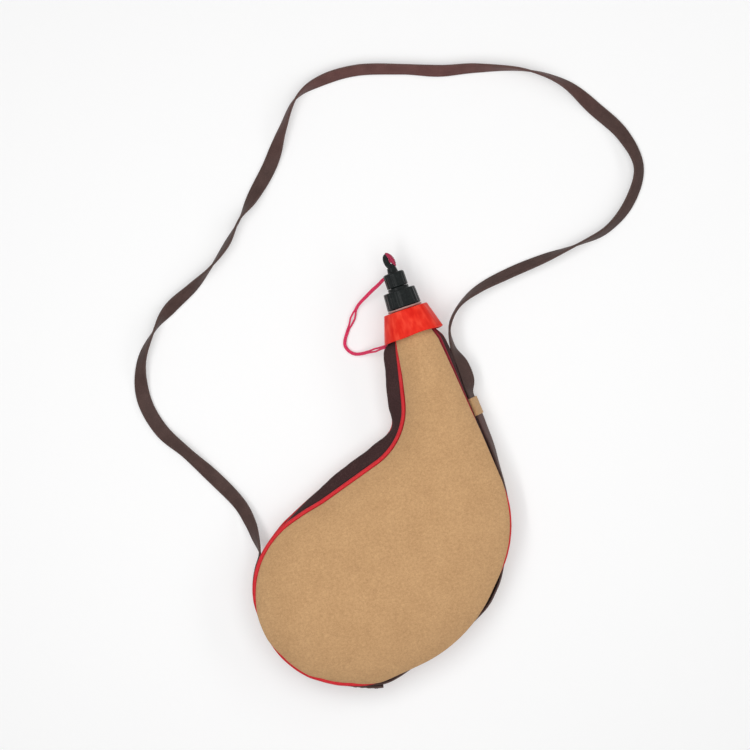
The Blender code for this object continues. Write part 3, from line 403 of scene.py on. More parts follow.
def strap_on_rim(stations, standoff, slack):
    """Middle and roll of the run on the rim. Standoff is 0 in the groove, 1 in the keeper."""
    middle = (stations.front_z + stations.back_z) / 2 - KEEPER_DROP * standoff
    out = (KEEPER_STANDOFF + GROOVE_INSET) * standoff + slack
    roll = math.pi / 2 + (math.pi / 2 - KEEPER_ROLL) * standoff
    return stations.place(GROOVE_INSET, middle, out), roll


def rim_run(heel_count, side_count):
    """The strap's middle and roll from the heel round to the keeper."""
    first = np.linspace(STRAP_LEAVES_HEEL, LEFT.length, heel_count, endpoint=False)
    second = np.linspace(RIGHT.length, STRAP_LEAVES_SIDE, side_count)
    swing = STRAP_LEAVES_SIDE + KEEPER_LENGTH / 2 + STRAP_SWINGS_OUT
    standoff = ease((swing - second) / STRAP_SWINGS_OUT)
    down = Stations(LEFT, first, fall=1.0)
    down = strap_on_rim(down, np.zeros(heel_count), eased_table(first, LEFT_SLACK))
    up = strap_on_rim(Stations(RIGHT, second), standoff, eased_table(second, RIGHT_SLACK))
    return tuple(np.concatenate(pair) for pair in zip(down, up))


def free_route(count):
    """The free stretch between the two ends of the run on the rim: x, y, z, roll."""
    points, rolls = rim_run(9, 32)
    heel_way, side_way = unit(points[0] - points[1]), unit(points[-1] - points[-2])
    rows = [(*(points[0] + heel_way * reach), rolls[0]) for reach in (GAP, HEEL_RUN)]
    for x, y, degrees, *height in STRAP_ROUTE:
        roll = math.radians(degrees)
        rows.append((x / 1000, y / 1000, height[0] / 1000 if height else lowest(roll), roll))
    side_roll = math.pi - rolls[-1]
    rows += [(*(points[-1] + side_way * reach), side_roll) for reach in (KEEPER_RUN, GAP)]
    path = smooth_path(rows, count)
    path[:, 2] = np.maximum(path[:, 2], lowest(path[:, 3]))
    return path[:, :3], path[:, 3]


points, rolls = free_route(STRAP_STEPS)
print("free strap is", round(walked(points)[-1], 3), "m long")

# %% Carry the strap's section along its route
STRAP_EDGE = 0.0004  # how far its edges are rounded
LINE_INSET, LINE_HALF, LINE_DEPTH = 0.0012, 0.0003, 0.00012  # the pressed line near each edge
# How it wavers in its roll, in radians, and cups: (height, size, seed) of the waves
STRAP_SWAY, STRAP_CUP = (0.05, 0.017, 3.0), (0.00035, 0.030, 8.0)


def strap_section():
    """The strap's outline (across, up), rounded at the edges, with its pressed lines."""
    w, t = STRAP_WIDTH / 2, STRAP_THICKNESS / 2
    line = LINE_INSET - w
    top = [(STRAP_EDGE - w, t), (line - LINE_HALF, t), (line, t - LINE_DEPTH)]
    top += [(line + LINE_HALF, t), (-w / 3, t)]
    top += [(-x, z) for x, z in top[::-1]]
    upper = [(-w, t * 0.45), *top, (w, t * 0.45)]
    return np.array(upper + [(x, -z) for x, z in upper[::-1]])


def strap_piece(name, points, rolls, stands_for, liveliness=1.0):
    """A length of strap with a little waviness in its roll and in its edges."""
    section = strap_section()
    side = unit(np.cross(np.gradient(points, axis=0) * (1, 1, 0), (0, 0, 1)))
    rolls = rolls + liveliness * waves(points, STRAP_SWAY)
    sine, cosine = np.sin(rolls)[:, None], np.cos(rolls)[:, None]
    up = np.array([[0, 0, 1.0]])
    across, face = side * cosine + up * sine, up * cosine - side * sine
    cup = 1 - (section[:, 0] / (STRAP_WIDTH / 2)) ** 2
    bend = (liveliness * waves(points, STRAP_CUP)[:, None] * cup)[..., None]
    rings = swept(points, across, face, section) + bend * face[:, None]
    rings[..., 2] = np.maximum(rings[..., 2], CLEAR)
    along, across = np.repeat(walked(points), len(section)), np.tile(section[:, 0], len(points))
    marks = {"along": along, "across": across}
    return make_piece(name, loft(rings, caps=True), "bag", stands_for, marks=marks)


strap_free = strap_piece("strap_round_loop", points, rolls, ["strap_free"])
print("strap has", len(strap_free.data.vertices), "points on its free stretch")

# %% [markdown]
# ## The stopper's tether
#
# A thin red cord, laid double, keeps the stopper on the bag. It is tied at the collar's foot,
# lies on the table beside the nozzle and goes up under the stopper. The stopper and the ring
# both screw off, so the cord is made in two lengths that meet at its farthest point.

# %% Lay the tether's route
TETHER_STEPS = 220
TETHER_ROUTE = metres(
    (45.2, 146.2, 20), (43.8, 146.4, 17.2), (40.3, 146.5, 12.6), (35.9, 146.5, 8.4), (31.7, 146.8, 5.2),
    (27.5, 147.1, 3), (23.5, 148.1, 1.8), (20.6, 150.2, 1.4), (18.7, 153.3, 1.4), (18.2, 156.5, 1.4),
    (19.4, 159.8, 1.4), (21.7, 163.2, 1.4), (24.3, 166.6, 1.6), (26.4, 168.8, 1.8), (29.9, 173.3, 2.4),
    (32.2, 176.3, 3.2), (34.9, 179, 4.2), (38.1, 181.1, 5.6), (42.5, 183.3, 7.4), (47.7, 185.9, 9.4),
    (52.7, 188.1, 10.8), (57.2, 190.4, 11.4), (61.8, 191.8, 11.2), (64.6, 194.6, 11.4),
    (64.8, 199, 12.2),
)
TETHER_SPLIT_X, TETHER_SPLIT_Y = 0.03, 0.1580  # the lengths meet past this y, left of this x

tether_path = smooth_path(TETHER_ROUTE, TETHER_STEPS)
split = int(np.argmax((tether_path[:, 1] > TETHER_SPLIT_Y) & (tether_path[:, 0] < TETHER_SPLIT_X)))
print("tether's two lengths meet at", np.round(tether_path[split], 3))

# %% Lay two strands along the route
STRAND_RADIUS, TETHER_PAIR = 0.0007, 0.0035  # of one strand, and the pair's diameter
YARN_SIDES = 8
# Half the space between the strands, by length from the collar
TETHER_SPREAD = metres(
    (0, 0.6), (10, 0.7), (14, 1.1), (19, 0.6), (26, 0.5), (45, 0.5), (52.5, 0.6), (56, 1.2),
    (59.2, 1.7), (62.5, 1.2), (65, 0.5), (74, 0.5), (83, 0.6), (120, 0.6),
)
TETHER_TILT, TILT_LENGTH = 0.5, 0.013  # how far the pair leans over as it goes, in radians


def strand_rings(path, phase):
    """Rings of one strand of the pair."""
    level, up = level_frame(path)
    walk = walked(path)
    spread = np.interp(walk, *zip(*TETHER_SPREAD))
    angle = TETHER_TILT * np.sin(walk / TILT_LENGTH) + phase
    middle = path + spread[:, None] * (level * np.cos(angle)[:, None] + up * np.sin(angle)[:, None])
    middle[:, 2] = np.maximum(middle[:, 2], STRAND_RADIUS + CLEAR)
    return swept(middle, *level_frame(middle), round_section(STRAND_RADIUS, YARN_SIDES))


def yarn_piece(name, runs, body, stands_for, closed=False):
    """One piece of several cord runs, each with marks along and round it."""
    verts, faces, marks = [], [], {"along": [], "around": []}
    for rings in runs:
        more, joins = loft(rings, wrap=closed, caps=not closed)
        faces += [tuple(i + len(verts) for i in face) for face in joins]
        verts += more
        for mark, values in marks_of(rings).items():
            marks[mark].extend(values)
    return make_piece(name, (verts, faces), body, stands_for, 60, marks)


for name, part, bodies, stands_for in (
    ("tether_to_collar", slice(0, split + 1), ("bag", "ring_lift"), ["tether"]),
    ("tether_to_stopper", slice(split, None), ("ring", "stopper_lift"), []),
):
    path = tether_path[part]
    strands = [strand_rings(tether_path, phase)[part] for phase in (0, math.pi)]
    tether = yarn_piece(name, strands, None, stands_for)
    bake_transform(tether)
    print(name, "is", round(walked(path)[-1], 3), "m long")

# %% [markdown]
# ## The suede panels
#
# Each panel is a dished piece of suede, full in the middle because of the bladder behind it, and
# steep at the seam. It could be inflated by a cloth simulation, but a filled bladder gives such
# a plain, even crown that a lofted sheet does as well: rows run from the left seam to the right
# one, and the height grows with the distance from the seam. The sheet is then relaxed, and
# gets the faint slack waves and the puckers at the stitches that real suede has.

# %% Shape the crown of a panel
FRONT_CROWN_REACH, BACK_CROWN_REACH = 0.046, 0.027  # from the rim to where the panel is level
CROWN_STEEP, CROWN_ROUND = 2.2, 0.8  # how the height grows from the rim to there
FRONT_TOPS, BACK_TOPS = (0.0368, 0.0370), (0.0052, 0.0)  # where it is level: at the neck, the belly
NARROW_SHARE = 0.5  # up to this share of the rim, half the panel's width limits that reach
RELAXING_STEPS = 10
SLACK_WAVES, PUCKERS = ((0.0007, 0.050, 5.0), (0.0003, 0.021, 9.0)), (0.0006, 0.006, 2.0)
PUCKER_START, PUCKER_REACH, PUCKER_STRETCH = 0.0015, 0.010, 0.4
PANEL_FOOT = 0.0004  # nearer to the rim than this, the height falls no further
PRESSED_WAVES = 1.5  # how strong the waves are on the side that the bag lies on


def rim_distance(points, border):
    """Least level distance from each point to the rim, and how far along it that is."""
    a, run = border[:-1], np.diff(border, axis=0)
    walk = walked(border)
    best, place = [], []
    for chunk in np.array_split(points, max(1, len(points) // 1500)):
        gap = chunk[:, None] - a
        share = np.clip((gap * run).sum(2) / (run * run).sum(1), 0, 1)
        distance = np.linalg.norm(gap - share[..., None] * run, axis=2)
        nearest = distance.argmin(1)
        rows = np.arange(len(chunk))
        best.append(distance[rows, nearest])
        place.append(walk[nearest] + share[rows, nearest] * np.diff(walk)[nearest])
    return np.concatenate(best), np.concatenate(place)


def crown_share(distance, reach):
    """How much of its full height the crown has this far from the rim."""
    return (1 - (1 - np.clip(distance / reach, 0, 1)) ** CROWN_STEEP) ** CROWN_ROUND


def panel_heights(grid, stations, half_width, border, front):
    """Height of each point of the grid, with the waves and puckers of the suede."""
    rows, columns, _ = grid.shape
    rim_z, tops, full = (
        (stations.front_z, FRONT_TOPS, FRONT_CROWN_REACH) if front
        else (stations.back_z, BACK_TOPS, BACK_CROWN_REACH)
    )
    far_z = tops[0] + (tops[1] - tops[0]) * ease(stations.share / FALL_SHARE)
    narrow = stations.share < NARROW_SHARE
    reach = np.repeat(np.where(narrow, np.minimum(full, half_width), full), columns)
    flat = grid.reshape(-1, 2)
    distance, walk = rim_distance(flat, border)
    overhang = EDGE_INSET - np.interp(walk, rim.walk, rim.edge)
    inside = distance - PIPING_RADIUS + overhang * (1 - np.clip(distance / reach, 0, 1))
    crown = crown_share(np.maximum(inside, PANEL_FOOT), reach)
    z = np.repeat(rim_z, columns) + np.repeat(far_z - rim_z, columns) * crown
    z = z.reshape(rows, columns)
    for _ in range(RELAXING_STEPS):
        around = z[:-2, 3:-3] + z[2:, 3:-3] + z[1:-1, 2:-4] + z[1:-1, 4:-2]
        z[1:-1, 3:-3] = z[1:-1, 3:-3] / 2 + around / 8
    spots = np.column_stack((flat, 0 * walk))
    along = np.column_stack((walk, distance * PUCKER_STRETCH, 0 * walk))
    near = np.exp(-distance / PUCKER_REACH) * (1 - np.exp(-distance / PUCKER_START))
    extra = crown * waves(spots, *SLACK_WAVES) + near * waves(along, PUCKERS)
    if not front:  # it lies on this side, so the waves only go up, and fade from the rim
        extra = np.abs(extra) * (1 - crown) * PRESSED_WAVES
    return z + extra.reshape(rows, columns)


# %% Loft the front and back panels
PANEL_ROWS, PANEL_COLUMNS, PANEL_THICKNESS = 150, 84, 0.0014
COLUMN_EASE = 0.6  # how much closer together the columns lie at the seams
TIP_RISE = 0.9  # of the panel's tip at the heel, as a share of the next row's
LIP = ((0.00020, 0.0012), (0.00030, 0.0005))  # the turned edge, from its end: (outward, down)


def panel_sheet(front):
    """Verts and faces of the outer surface, with a turned lip along the seam."""
    shares = np.arange(PANEL_ROWS) / PANEL_ROWS
    sides = [Stations(side, shares**RIM_BIAS * side.length) for side in (LEFT, RIGHT)]
    follow = 0.0 if front else BACK_RIM_SHARE
    left, right = (s.place(s.edge, 0.0, s.bulge * follow)[:, None, :2] for s in sides)
    c = np.arange(PANEL_COLUMNS + 1) / PANEL_COLUMNS
    eased = 0.5 - 0.5 * np.cos(np.pi * c)
    spacing = ((1 - COLUMN_EASE) * c + COLUMN_EASE * eased)[None, :, None]
    grid = left * (1 - spacing) + right * spacing
    half_width = np.linalg.norm(right - left, axis=2)[:, 0] / 2 + EDGE_INSET
    z = panel_heights(grid, sides[0], half_width, rim.place(0.0, 0.0, rim.bulge * follow)[:, :2], front)
    down = -1.0 if front else 1.0
    rows = []
    for k in range(PANEL_ROWS):
        row = np.column_stack((grid[k], z[k]))
        lips = [
            [row[end] + np.append(-side.inward[k] * out, down * drop) for out, drop in LIP]
            for side, end in zip(sides, (0, -1))
        ]
        rows.append(lips[0] + list(row) + lips[1][::-1])
    tip_station = Stations(LEFT, [LEFT.length])
    rim_z = BELLY_RIMS[0 if front else 1]
    tip_z = rim_z + (z[-1, 1] - rim_z) * TIP_RISE
    tip = tip_station.place(tip_station.edge, tip_z)[0]
    tips = [tip] + [tip + np.append(-HEEL_NORMAL * out, down * drop) for out, drop in LIP[::-1]]
    width, lips = len(rows[0]), len(LIP)
    grid = np.arange(PANEL_ROWS * width).reshape(PANEL_ROWS, width)
    corners = grid[:-1, :-1], grid[:-1, 1:], grid[1:, 1:], grid[1:, :-1]
    faces = np.stack(corners, -1).reshape(-1, 4).tolist()
    last, end = grid[-1].tolist(), grid.size
    faces += [(last[m], last[m + 1], end) for m in range(lips, width - 1 - lips)]
    for m in range(lips):
        for a, b in ((lips - m, lips - m - 1), (m - 1 - lips, m - lips)):
            faces.append((last[a], last[b], end + m + 1, end + m))
    return [v for row in rows for v in row] + tips, faces


def panel_piece(name, front, stands_for):
    """A panel with its outer side out, as thick as the suede."""
    piece = make_piece(name, panel_sheet(front), "bag", stands_for, 60)
    upward = sum(p.normal.z * p.area for p in piece.data.polygons) > 0
    if upward != front:
        piece.data.flip_normals()
    skin = piece.modifiers.new("thickness", "SOLIDIFY")
    skin.thickness, skin.offset = PANEL_THICKNESS, -1.0
    print(name, "has", len(piece.data.vertices), "points")
    return piece


suede_front = panel_piece("suede_front", True, ["front_panel"])
suede_back = panel_piece("suede_back", False, ["back_panel"])

# %% [markdown]
# ## The red pipings
#
# A piping is a cord wrapped in red leathercloth and sewn into the seam. It stands proud where
# the seam pulls it outward and sinks under the suede where the panel is full, so its inset and
# its depth follow the table of the seam.

# %% Run the pipings round the rim
PIPING_STEPS, PIPING_SIDES = 560, 14
PIPING_SWELL = (0.05, 0.005, 4.0)  # how unevenly thick a piping is
# Painted shade: near their right ends, beside the neck, the pipings are painted darker for the shade under
# the collar.
PAINTED_SHADE_TABLE = ((0.0, 1.0), (0.048, 1.0), (0.075, 0.0))  # how dark it is, this far from its right end


def piping_piece(name, front, stands_for):
    """The piping at the front or the back seam, all round the rim."""
    if front:
        path = rim.place(rim.cord, rim.front_z - rim.sunk)
    else:
        path = rim.place(PIPING_RADIUS, rim.back_z, rim.bulge * BACK_RIM_SHARE)
    path = smooth_path(path, PIPING_STEPS)
    rings = swept(path, *level_frame(path), round_section(PIPING_RADIUS, PIPING_SIDES))
    swell = 1 + waves(path, PIPING_SWELL)
    rings = path[:, None] + (rings - path[:, None]) * swell[:, None, None]
    walk = walked(path)
    # Painted shade: how strongly each point is painted darker, by its distance from the right end.
    painted_shade = np.repeat(np.interp(walk[-1] - walk, *zip(*PAINTED_SHADE_TABLE)), PIPING_SIDES)
    print(name, "runs from", np.round(path[0], 3), "to", np.round(path[-1], 3))
    marks = {**marks_of(rings), "painted_shade": painted_shade}
    return make_piece(name, loft(rings, caps=True), "bag", stands_for, 60, marks)


piping_front = piping_piece("red_piping_front", True, ["front_piping"])
piping_back = piping_piece("red_piping_back", False, ["back_piping"])

# %% [markdown]
# ## The dark band
#
# The band is the gusset between the two pipings. It is cut longer than it needs to be on the
# left side, where it bellies out in soft folds. The section is a rounded curve between the
# seams, and folds are pushed into it with noise that is stretched up and down.

# %% Loft the band with its folds
BAND_ROWS, BAND_THICKNESS = 13, 0.0012
BAND_CURVE = ((0, 0.10), (0.15, 0.52), (0.32, 0.88), (0.5, 1.0), (0.7, 0.98), (0.87, 0.85), (1, 0.7))
BAND_EDGE = PIPING_RADIUS + 0.0002  # from a seam to the band's edge
FOLDS, FOLD_STRETCH = ((1.0, 0.0140, 1.0), (0.35, 0.0042, 6.0)), 0.006
FOLD_LEAST, FOLD_MORE, FULL_BULGE = 0.00015, 0.00045, 0.008  # the folds grow with the bulge


def band_shape():
    """The band from seam to seam, as an outer surface with an inner one behind it."""
    top, bottom = rim.front_z - BAND_EDGE, rim.back_z + BAND_EDGE
    amount = FOLD_LEAST + FOLD_MORE * np.clip(rim.bulge / FULL_BULGE, 0, 1)
    surfaces = []
    for share in np.linspace(0, 1, BAND_ROWS):
        spots = np.column_stack((rim.walk, share * FOLD_STRETCH + 0 * rim.walk, 0 * rim.walk))
        fold = amount * math.sin(math.pi * share) * waves(spots, *FOLDS)
        out = rim.bulge * np.interp(share, *zip(*BAND_CURVE)) + fold
        surfaces.append(rim.place(GUSSET_INSET, top + (bottom - top) * share, out))
    outer = np.stack(surfaces, 1)
    inward = np.column_stack((rim.inward, 0 * rim.walk)) * BAND_THICKNESS
    return loft(np.concatenate((outer, outer[:, ::-1] + inward[:, None]), 1), caps=True)


band = make_piece("dark_band", band_shape(), "bag", ["gusset_band"], 60)
print("band has", len(band.data.vertices), "points")

# %% [markdown]
# ## The strap on the rim, its sewn end and the keeper
#
# From the heel the strap runs in the groove between the pipings round the belly, sags out of it
# for a short way, and swings out to the suede keeper. Its end is lapped over itself and sewn
# with a zigzag of dark thread.

# %% Lay the strap on the rim and sew its end
LAP_START, LAP_LENGTH, LAP_LIFT, LAP_SINK, LAP_STEPS = 0.0285, 0.0235, 0.0004, 0.0015, 24
THREAD_RADIUS, THREAD_SIDES = 0.0003, 8
HOLES, HOLE_STEPS, HOLE_WIDTH = 9, 8, 0.10  # the width as a share of a stitch
FIRST_HOLE, HOLE_SPAN = 0.1, 0.8  # shares of the lap's length
STITCH_REACH, STITCH_DIP = 0.0035, 0.0005  # half its height, and how deep it dips at a hole
lap_middle = sum(BELLY_RIMS) / 2
lap_seat = GROOVE_INSET - STRAP_THICKNESS - GAP


def lap_stations(shares):
    """Stations of the lap and how far it stands out: it starts deep and its end stands off."""
    stations = Stations(RIGHT, RIGHT.length - LAP_START - LAP_LENGTH * shares)
    rise = LAP_LIFT * shares**2 - LAP_SINK * (1 - shares) ** 1.5
    return stations, rise + eased_table(stations.distance, RIGHT_SLACK)


strap_piece("strap_along_rim", *rim_run(*RIM_STEPS), ["strap_rim"], 0.4)
stations, out = lap_stations(np.linspace(0, 1, LAP_STEPS))
points = stations.place(lap_seat, lap_middle, out)
strap_piece("strap_sewn_end", points, np.full(LAP_STEPS, math.pi / 2), ["strap_lap"], 0.3)


def zigzag_thread():
    """The middle line of the thread: it dips at each needle hole."""
    step = np.linspace(0, HOLES - 1, (HOLES - 1) * HOLE_STEPS + 1)
    rise = STITCH_REACH * (2 * np.abs((step + 1) % 2 - 1) - 1)
    hole = np.exp(-(((step - np.round(step)) / HOLE_WIDTH) ** 2))
    stations, out = lap_stations(FIRST_HOLE + HOLE_SPAN * step / (HOLES - 1))
    seat = lap_seat - STRAP_THICKNESS / 2 - THREAD_RADIUS
    return stations.place(seat, lap_middle + rise, out - STITCH_DIP * hole)


path = zigzag_thread()
shape = loft(swept(path, *level_frame(path), round_section(THREAD_RADIUS, THREAD_SIDES)), caps=True)
marks = {"along": np.repeat(np.arange(len(path)) / HOLE_STEPS, THREAD_SIDES)}
thread = make_piece("zigzag_stitches", shape, "bag", ["lap_thread"], 60, marks)
print("lap is sewn with", HOLES - 1, "stitches")

# %% Fold the keeper round the strap
KEEPER_SLACK, KEEPER_WALL, KEEPER_CORNER = 0.00015, 0.0007, 0.0006
KEEPER_WAVES = (0.05, 0.004, 7.0)
KEEPER_RIM = 0.0003  # its edges are rounded off over this length


def rounded_box(half_width, half_height, radius):
    """A rectangle's outline with round corners, of five points each."""
    quarters = np.repeat((0, 1, 2, 3), 5)
    angles = math.pi / 2 * (quarters + np.tile(np.linspace(0, 1, 5), 4))
    signs = np.array(((1, 1), (-1, 1), (-1, -1), (1, -1)))[quarters]
    corners = signs * (half_width - radius, half_height - radius)
    return corners + radius * np.column_stack((np.cos(angles), np.sin(angles)))


def keeper_shape():
    """A sleeve round the strap: outer sections one way, inner ones back."""
    station = Stations(RIGHT, [STRAP_LEAVES_SIDE])
    centre, roll = strap_on_rim(station, np.ones(1), 0.0)
    outward, upright = np.append(-station.inward[0], 0), np.array([0, 0, 1.0])
    sine, cosine = math.sin(roll[0]), math.cos(roll[0])
    across, face = outward * cosine + upright * sine, upright * cosine - outward * sine
    half, inside = KEEPER_LENGTH / 2, KEEPER_LENGTH / 2 - 0.0002
    walls = (  # share of the wall's thickness, and the place along the keeper
        (0.5, -half), (1.0, KEEPER_RIM - half), (1.0, -half / 2), (0.96, 0.0), (1.0, half / 2),
        (1.0, half - KEEPER_RIM), (0.5, half), (0.0, inside), (0.0, 0.0), (0.0, -inside),
    )
    rings = []
    for share, place in walls:
        grow = KEEPER_SLACK + KEEPER_WALL * share
        corner = KEEPER_CORNER + KEEPER_WALL * share
        section = rounded_box(STRAP_WIDTH / 2 + grow, STRAP_THICKNESS / 2 + grow, corner)
        spots = np.column_stack((section, np.full(len(section), place)))
        section = section * (1 + share * waves(spots, KEEPER_WAVES))[:, None]
        middle = centre[0] + np.cross(outward, upright) * place
        rings.append(middle + section[:, :1] * across + section[:, 1:] * face)
    return loft(rings, wrap=True)


keeper = make_piece("suede_keeper", keeper_shape(), "bag", ["strap_loop"])
print("keeper is", round(KEEPER_LENGTH * 1000), "mm long")

# %% [markdown]
# ## The nozzle
#
# The hard pieces are all turned about one axis, so each is a profile with rounded corners that
# is spun round it. A function may change the radius with the angle, for ribs, threads and the
# slight waviness of the soft red collar. Spinning a rounded profile keeps the edges crisp and
# the highlights clean, where a bevel on a coarse solid would not.

# %% Set the nozzle's sizes and heights
COLLAR_HEIGHT, COLLAR_WALL = 0.0186, 0.0016
COLLAR_FOOT, COLLAR_TOP = 0.0212, 0.0153
# How far the collar is from round and level: (height, number of waves, phase)
COLLAR_FLUTES = (0.00010, 9, 0.5), (0.00006, 14, 1.0)
COLLAR_SWAY = (0.00022, 3, 0.6), (0.00012, 7, 2.0)  # most at its foot
COLLAR_HEM, HEM_REACH = ((0.0004, 2, 1.0), (0.00024, 5, 0.0)), 0.006  # up and down, along its foot
SPOUT_RADIUS, SPOUT_BORE, SPOUT_THREAD = 0.0090, 0.0065, 0.0006
SPOUT_NECK, SPOUT_FLANGE, FLANGE_HEIGHT = 0.0084, 0.0122, 0.0020
ROOT_LENGTH, ROOT_RADIUS, BARB_RADIUS, BARBS = 0.0190, 0.0085, 0.0091, 3
WASHER_RADIUS, WASHER_THICKNESS = 0.0120, 0.0013
RING_FOOT, RING_TOP, RING_HEIGHT, RING_ROOF = 0.01185, 0.0111, 0.0118, 0.0015
RING_RIBS, RING_RIB_DEPTH, RIB_STEPS = 20, 0.00028, 18
JET_FLANGE, JET_FLANGE_HEIGHT = 0.0073, 0.0022
JET_RADIUS, JET_LENGTH, JET_BORE, JET_THREAD = 0.0046, 0.0076, 0.0016, 0.0004
STOPPER_RADIUS, STOPPER_HEIGHT, STOPPER_CHAMFER = 0.0074, 0.0101, 0.0016
STOPPER_RIBS, STOPPER_RIB_DEPTH = 18, 0.00025
RING_INNER, STOPPER_INNER = 0.0105, 0.0066  # the grooves are cut only where the radius is more
KNOB_RADIUS, KNOB_HEIGHT = 0.0037, 0.0036
EYELET_THICKNESS, EYELET_CORNER, EYELET_LEAN = 0.0026, 0.0007, math.radians(10)
EYELET_RISE, EYELET_SHIFT, EYELET_STEPS = 0.0079, -0.0003, 72
EYELET_OUTSIDE, EYELET_HOLE = (0.0036, 0.0060), (0.0008, 0.0021)  # half its width and length
EYELET_HOLE_SHIFT = 0.0009  # the limb that carries the cord is the slimmer one
GASKET_THICKNESS, LINER_THICKNESS = 0.0010, 0.0009
SCREW_PITCH, RUN_GAP = 0.0025, 0.0004  # and the room between a bore and what turns in it
WASHER_Y = COLLAR_HEIGHT + GAP
RING_Y = WASHER_Y + WASHER_THICKNESS + GAP
RING_TOP_Y = RING_Y + RING_HEIGHT
ROOF_Y = RING_TOP_Y - RING_ROOF
SPOUT_TOP_Y = ROOF_Y - GAP - GASKET_THICKNESS - GAP
JET_FOOT_Y = RING_TOP_Y + JET_FLANGE_HEIGHT
JET_TOP_Y = JET_FOOT_Y + JET_LENGTH
STOPPER_Y = JET_FOOT_Y + GAP
STOPPER_TOP_Y = STOPPER_Y + STOPPER_HEIGHT
CAP_BORE_TOP_Y = JET_TOP_Y + GAP + LINER_THICKNESS + GAP
BORE, CAP_BORE = SPOUT_RADIUS + RUN_GAP, JET_RADIUS + RUN_GAP
AXIS = np.array((AXIS_X, COLLAR_Y, AXIS_Z))
print("nozzle stands", round(STOPPER_TOP_Y * 1000, 1), "mm above the collar's foot")


# %% Turn a profile about the nozzle's axis
def turned(corners, segments, longest=1.0, changes=(), steps=4):
    """Rings about the axis from a profile's corners (radius, place on the axis, rounding).

    No step of the profile is longer than the longest. Each change adds to the radius.
    """
    line, _ = fillet_points(corners, step=math.pi / (2 * steps))
    profile = [line[0]]
    for a, b in zip(line, line[1:]):
        count = max(1, math.ceil(np.linalg.norm(b - a) / longest))
        profile += [a + (b - a) * (k + 1) / count for k in range(count)]
    angles = 2 * np.pi * np.arange(segments) / segments
    rings = []
    for radius, place in profile:
        if radius < 1e-7:
            rings.append([AXIS + (0, place, 0)])
            continue
        r = radius + sum(change(radius, place, angles) for change in changes) + 0 * angles
        rings.append(AXIS + np.column_stack((r * np.sin(angles), place + 0 * r, r * np.cos(angles))))
    return rings


def ribs(count, depth, low, high, least, fade=0.0006):
    """A change: grooves between two places on the axis, where the radius is more than the least."""

    def change(radius, place, angles):
        window = ease((place - low) / fade) * ease((high - place) / fade) * (radius > least)
        return -depth * window * (0.5 - 0.5 * np.cos(count * angles))

    return change


def thread_cut(depth, low, high, least):
    """A change: a screw thread between two places, where the radius is more than the least."""

    def change(radius, place, angles):
        if radius <= least or not low <= place <= high:
            return 0.0
        return -depth * (0.5 - 0.5 * np.cos(2 * np.pi * place / SCREW_PITCH - angles)) ** 1.5

    return change


# %% Turn the collar
def lobes(angles, layers):
    """Waves round the axis, in layers of (height, number of waves, phase)."""
    return sum(height * np.sin(count * angles + phase) for height, count, phase in layers)


def collar_change(radius, place, angles):
    """A change: the moulded collar isn't quite round, least of all at its foot."""
    low = 1 - np.clip(place / COLLAR_HEIGHT, 0, 1)
    return lobes(angles, COLLAR_FLUTES) + low * lobes(angles, COLLAR_SWAY)


slope = (COLLAR_FOOT - COLLAR_TOP) / COLLAR_HEIGHT
inner_roof = COLLAR_HEIGHT - COLLAR_WALL
rings = turned((
    (BORE, inner_roof, 0), (BORE, COLLAR_HEIGHT, 0.0003), (COLLAR_TOP, COLLAR_HEIGHT, 0.0009),
    (COLLAR_FOOT, 0, 0.0006), (COLLAR_FOOT - COLLAR_WALL, 0, 0.0005),
    (COLLAR_TOP + slope * COLLAR_WALL - COLLAR_WALL, inner_roof, 0.0005), (BORE + 0.0002, inner_roof, 0),
), 128, 0.0016, [collar_change])
for ring in rings:  # its lower edge waves a little
    foot = 1 - np.clip((ring[:, 1] - COLLAR_Y) / HEM_REACH, 0, 1)
    angles = np.arctan2(ring[:, 0] - AXIS_X, ring[:, 2] - AXIS_Z)
    ring[:, 1] += foot * lobes(angles, COLLAR_HEM)
collar = make_piece("red_collar", loft(rings, wrap=True), "bag", ["collar"])
print("collar has", len(collar.data.vertices), "points")

# %% Turn its washer and the spout
top = WASHER_Y + WASHER_THICKNESS
rings = turned((
    (BORE, (WASHER_Y + top) / 2, 0), (BORE, top, 0.0002), (WASHER_RADIUS, top, 0.0005),
    (WASHER_RADIUS, WASHER_Y, 0.0005), (BORE, WASHER_Y, 0.0002), (BORE, (WASHER_Y + top) / 2 - 1e-5, 0),
), 96)
washer = make_piece("pale_washer", loft(rings, wrap=True), "bag", ["collar_washer"])

root_top = NECK_TUCK + 2 * GAP
root_low, barb_step = root_top - ROOT_LENGTH, 0.7 * ROOT_LENGTH / BARBS
corners = [(SPOUT_BORE, 0, 0), (SPOUT_BORE, root_low, 0.0003)]
for k in range(BARBS):
    low = root_low + k * barb_step
    corners += [(ROOT_RADIUS, low, 0.0001), (BARB_RADIUS, low + barb_step - GAP, 0.0001)]
corners += [
    (ROOT_RADIUS, root_low + BARBS * barb_step, 0.0001), (ROOT_RADIUS, root_top, 0.0002),
    (SPOUT_FLANGE, root_top, 0.0004), (SPOUT_FLANGE, root_top + FLANGE_HEIGHT, 0.0004),
    (SPOUT_NECK, root_top + FLANGE_HEIGHT, 0.0002), (SPOUT_NECK, RING_Y - 0.0012, 0.0001),
    (SPOUT_RADIUS, RING_Y - 0.0006, 0.0003), (SPOUT_RADIUS, SPOUT_TOP_Y, 0.0004),
    (SPOUT_BORE, SPOUT_TOP_Y, 0.0003), (SPOUT_BORE, 0.0001, 0),
]
cut = thread_cut(SPOUT_THREAD, RING_Y - 0.0004, SPOUT_TOP_Y - 0.0004, SPOUT_BORE + 0.0005)
shape = loft(turned(corners, 72, 0.0004, [cut], steps=3), wrap=True)
spout = make_piece("threaded_spout", shape, "bag", ["spout"], 45)
print("spout stands", round(SPOUT_TOP_Y * 1000, 1), "mm above the collar's foot")

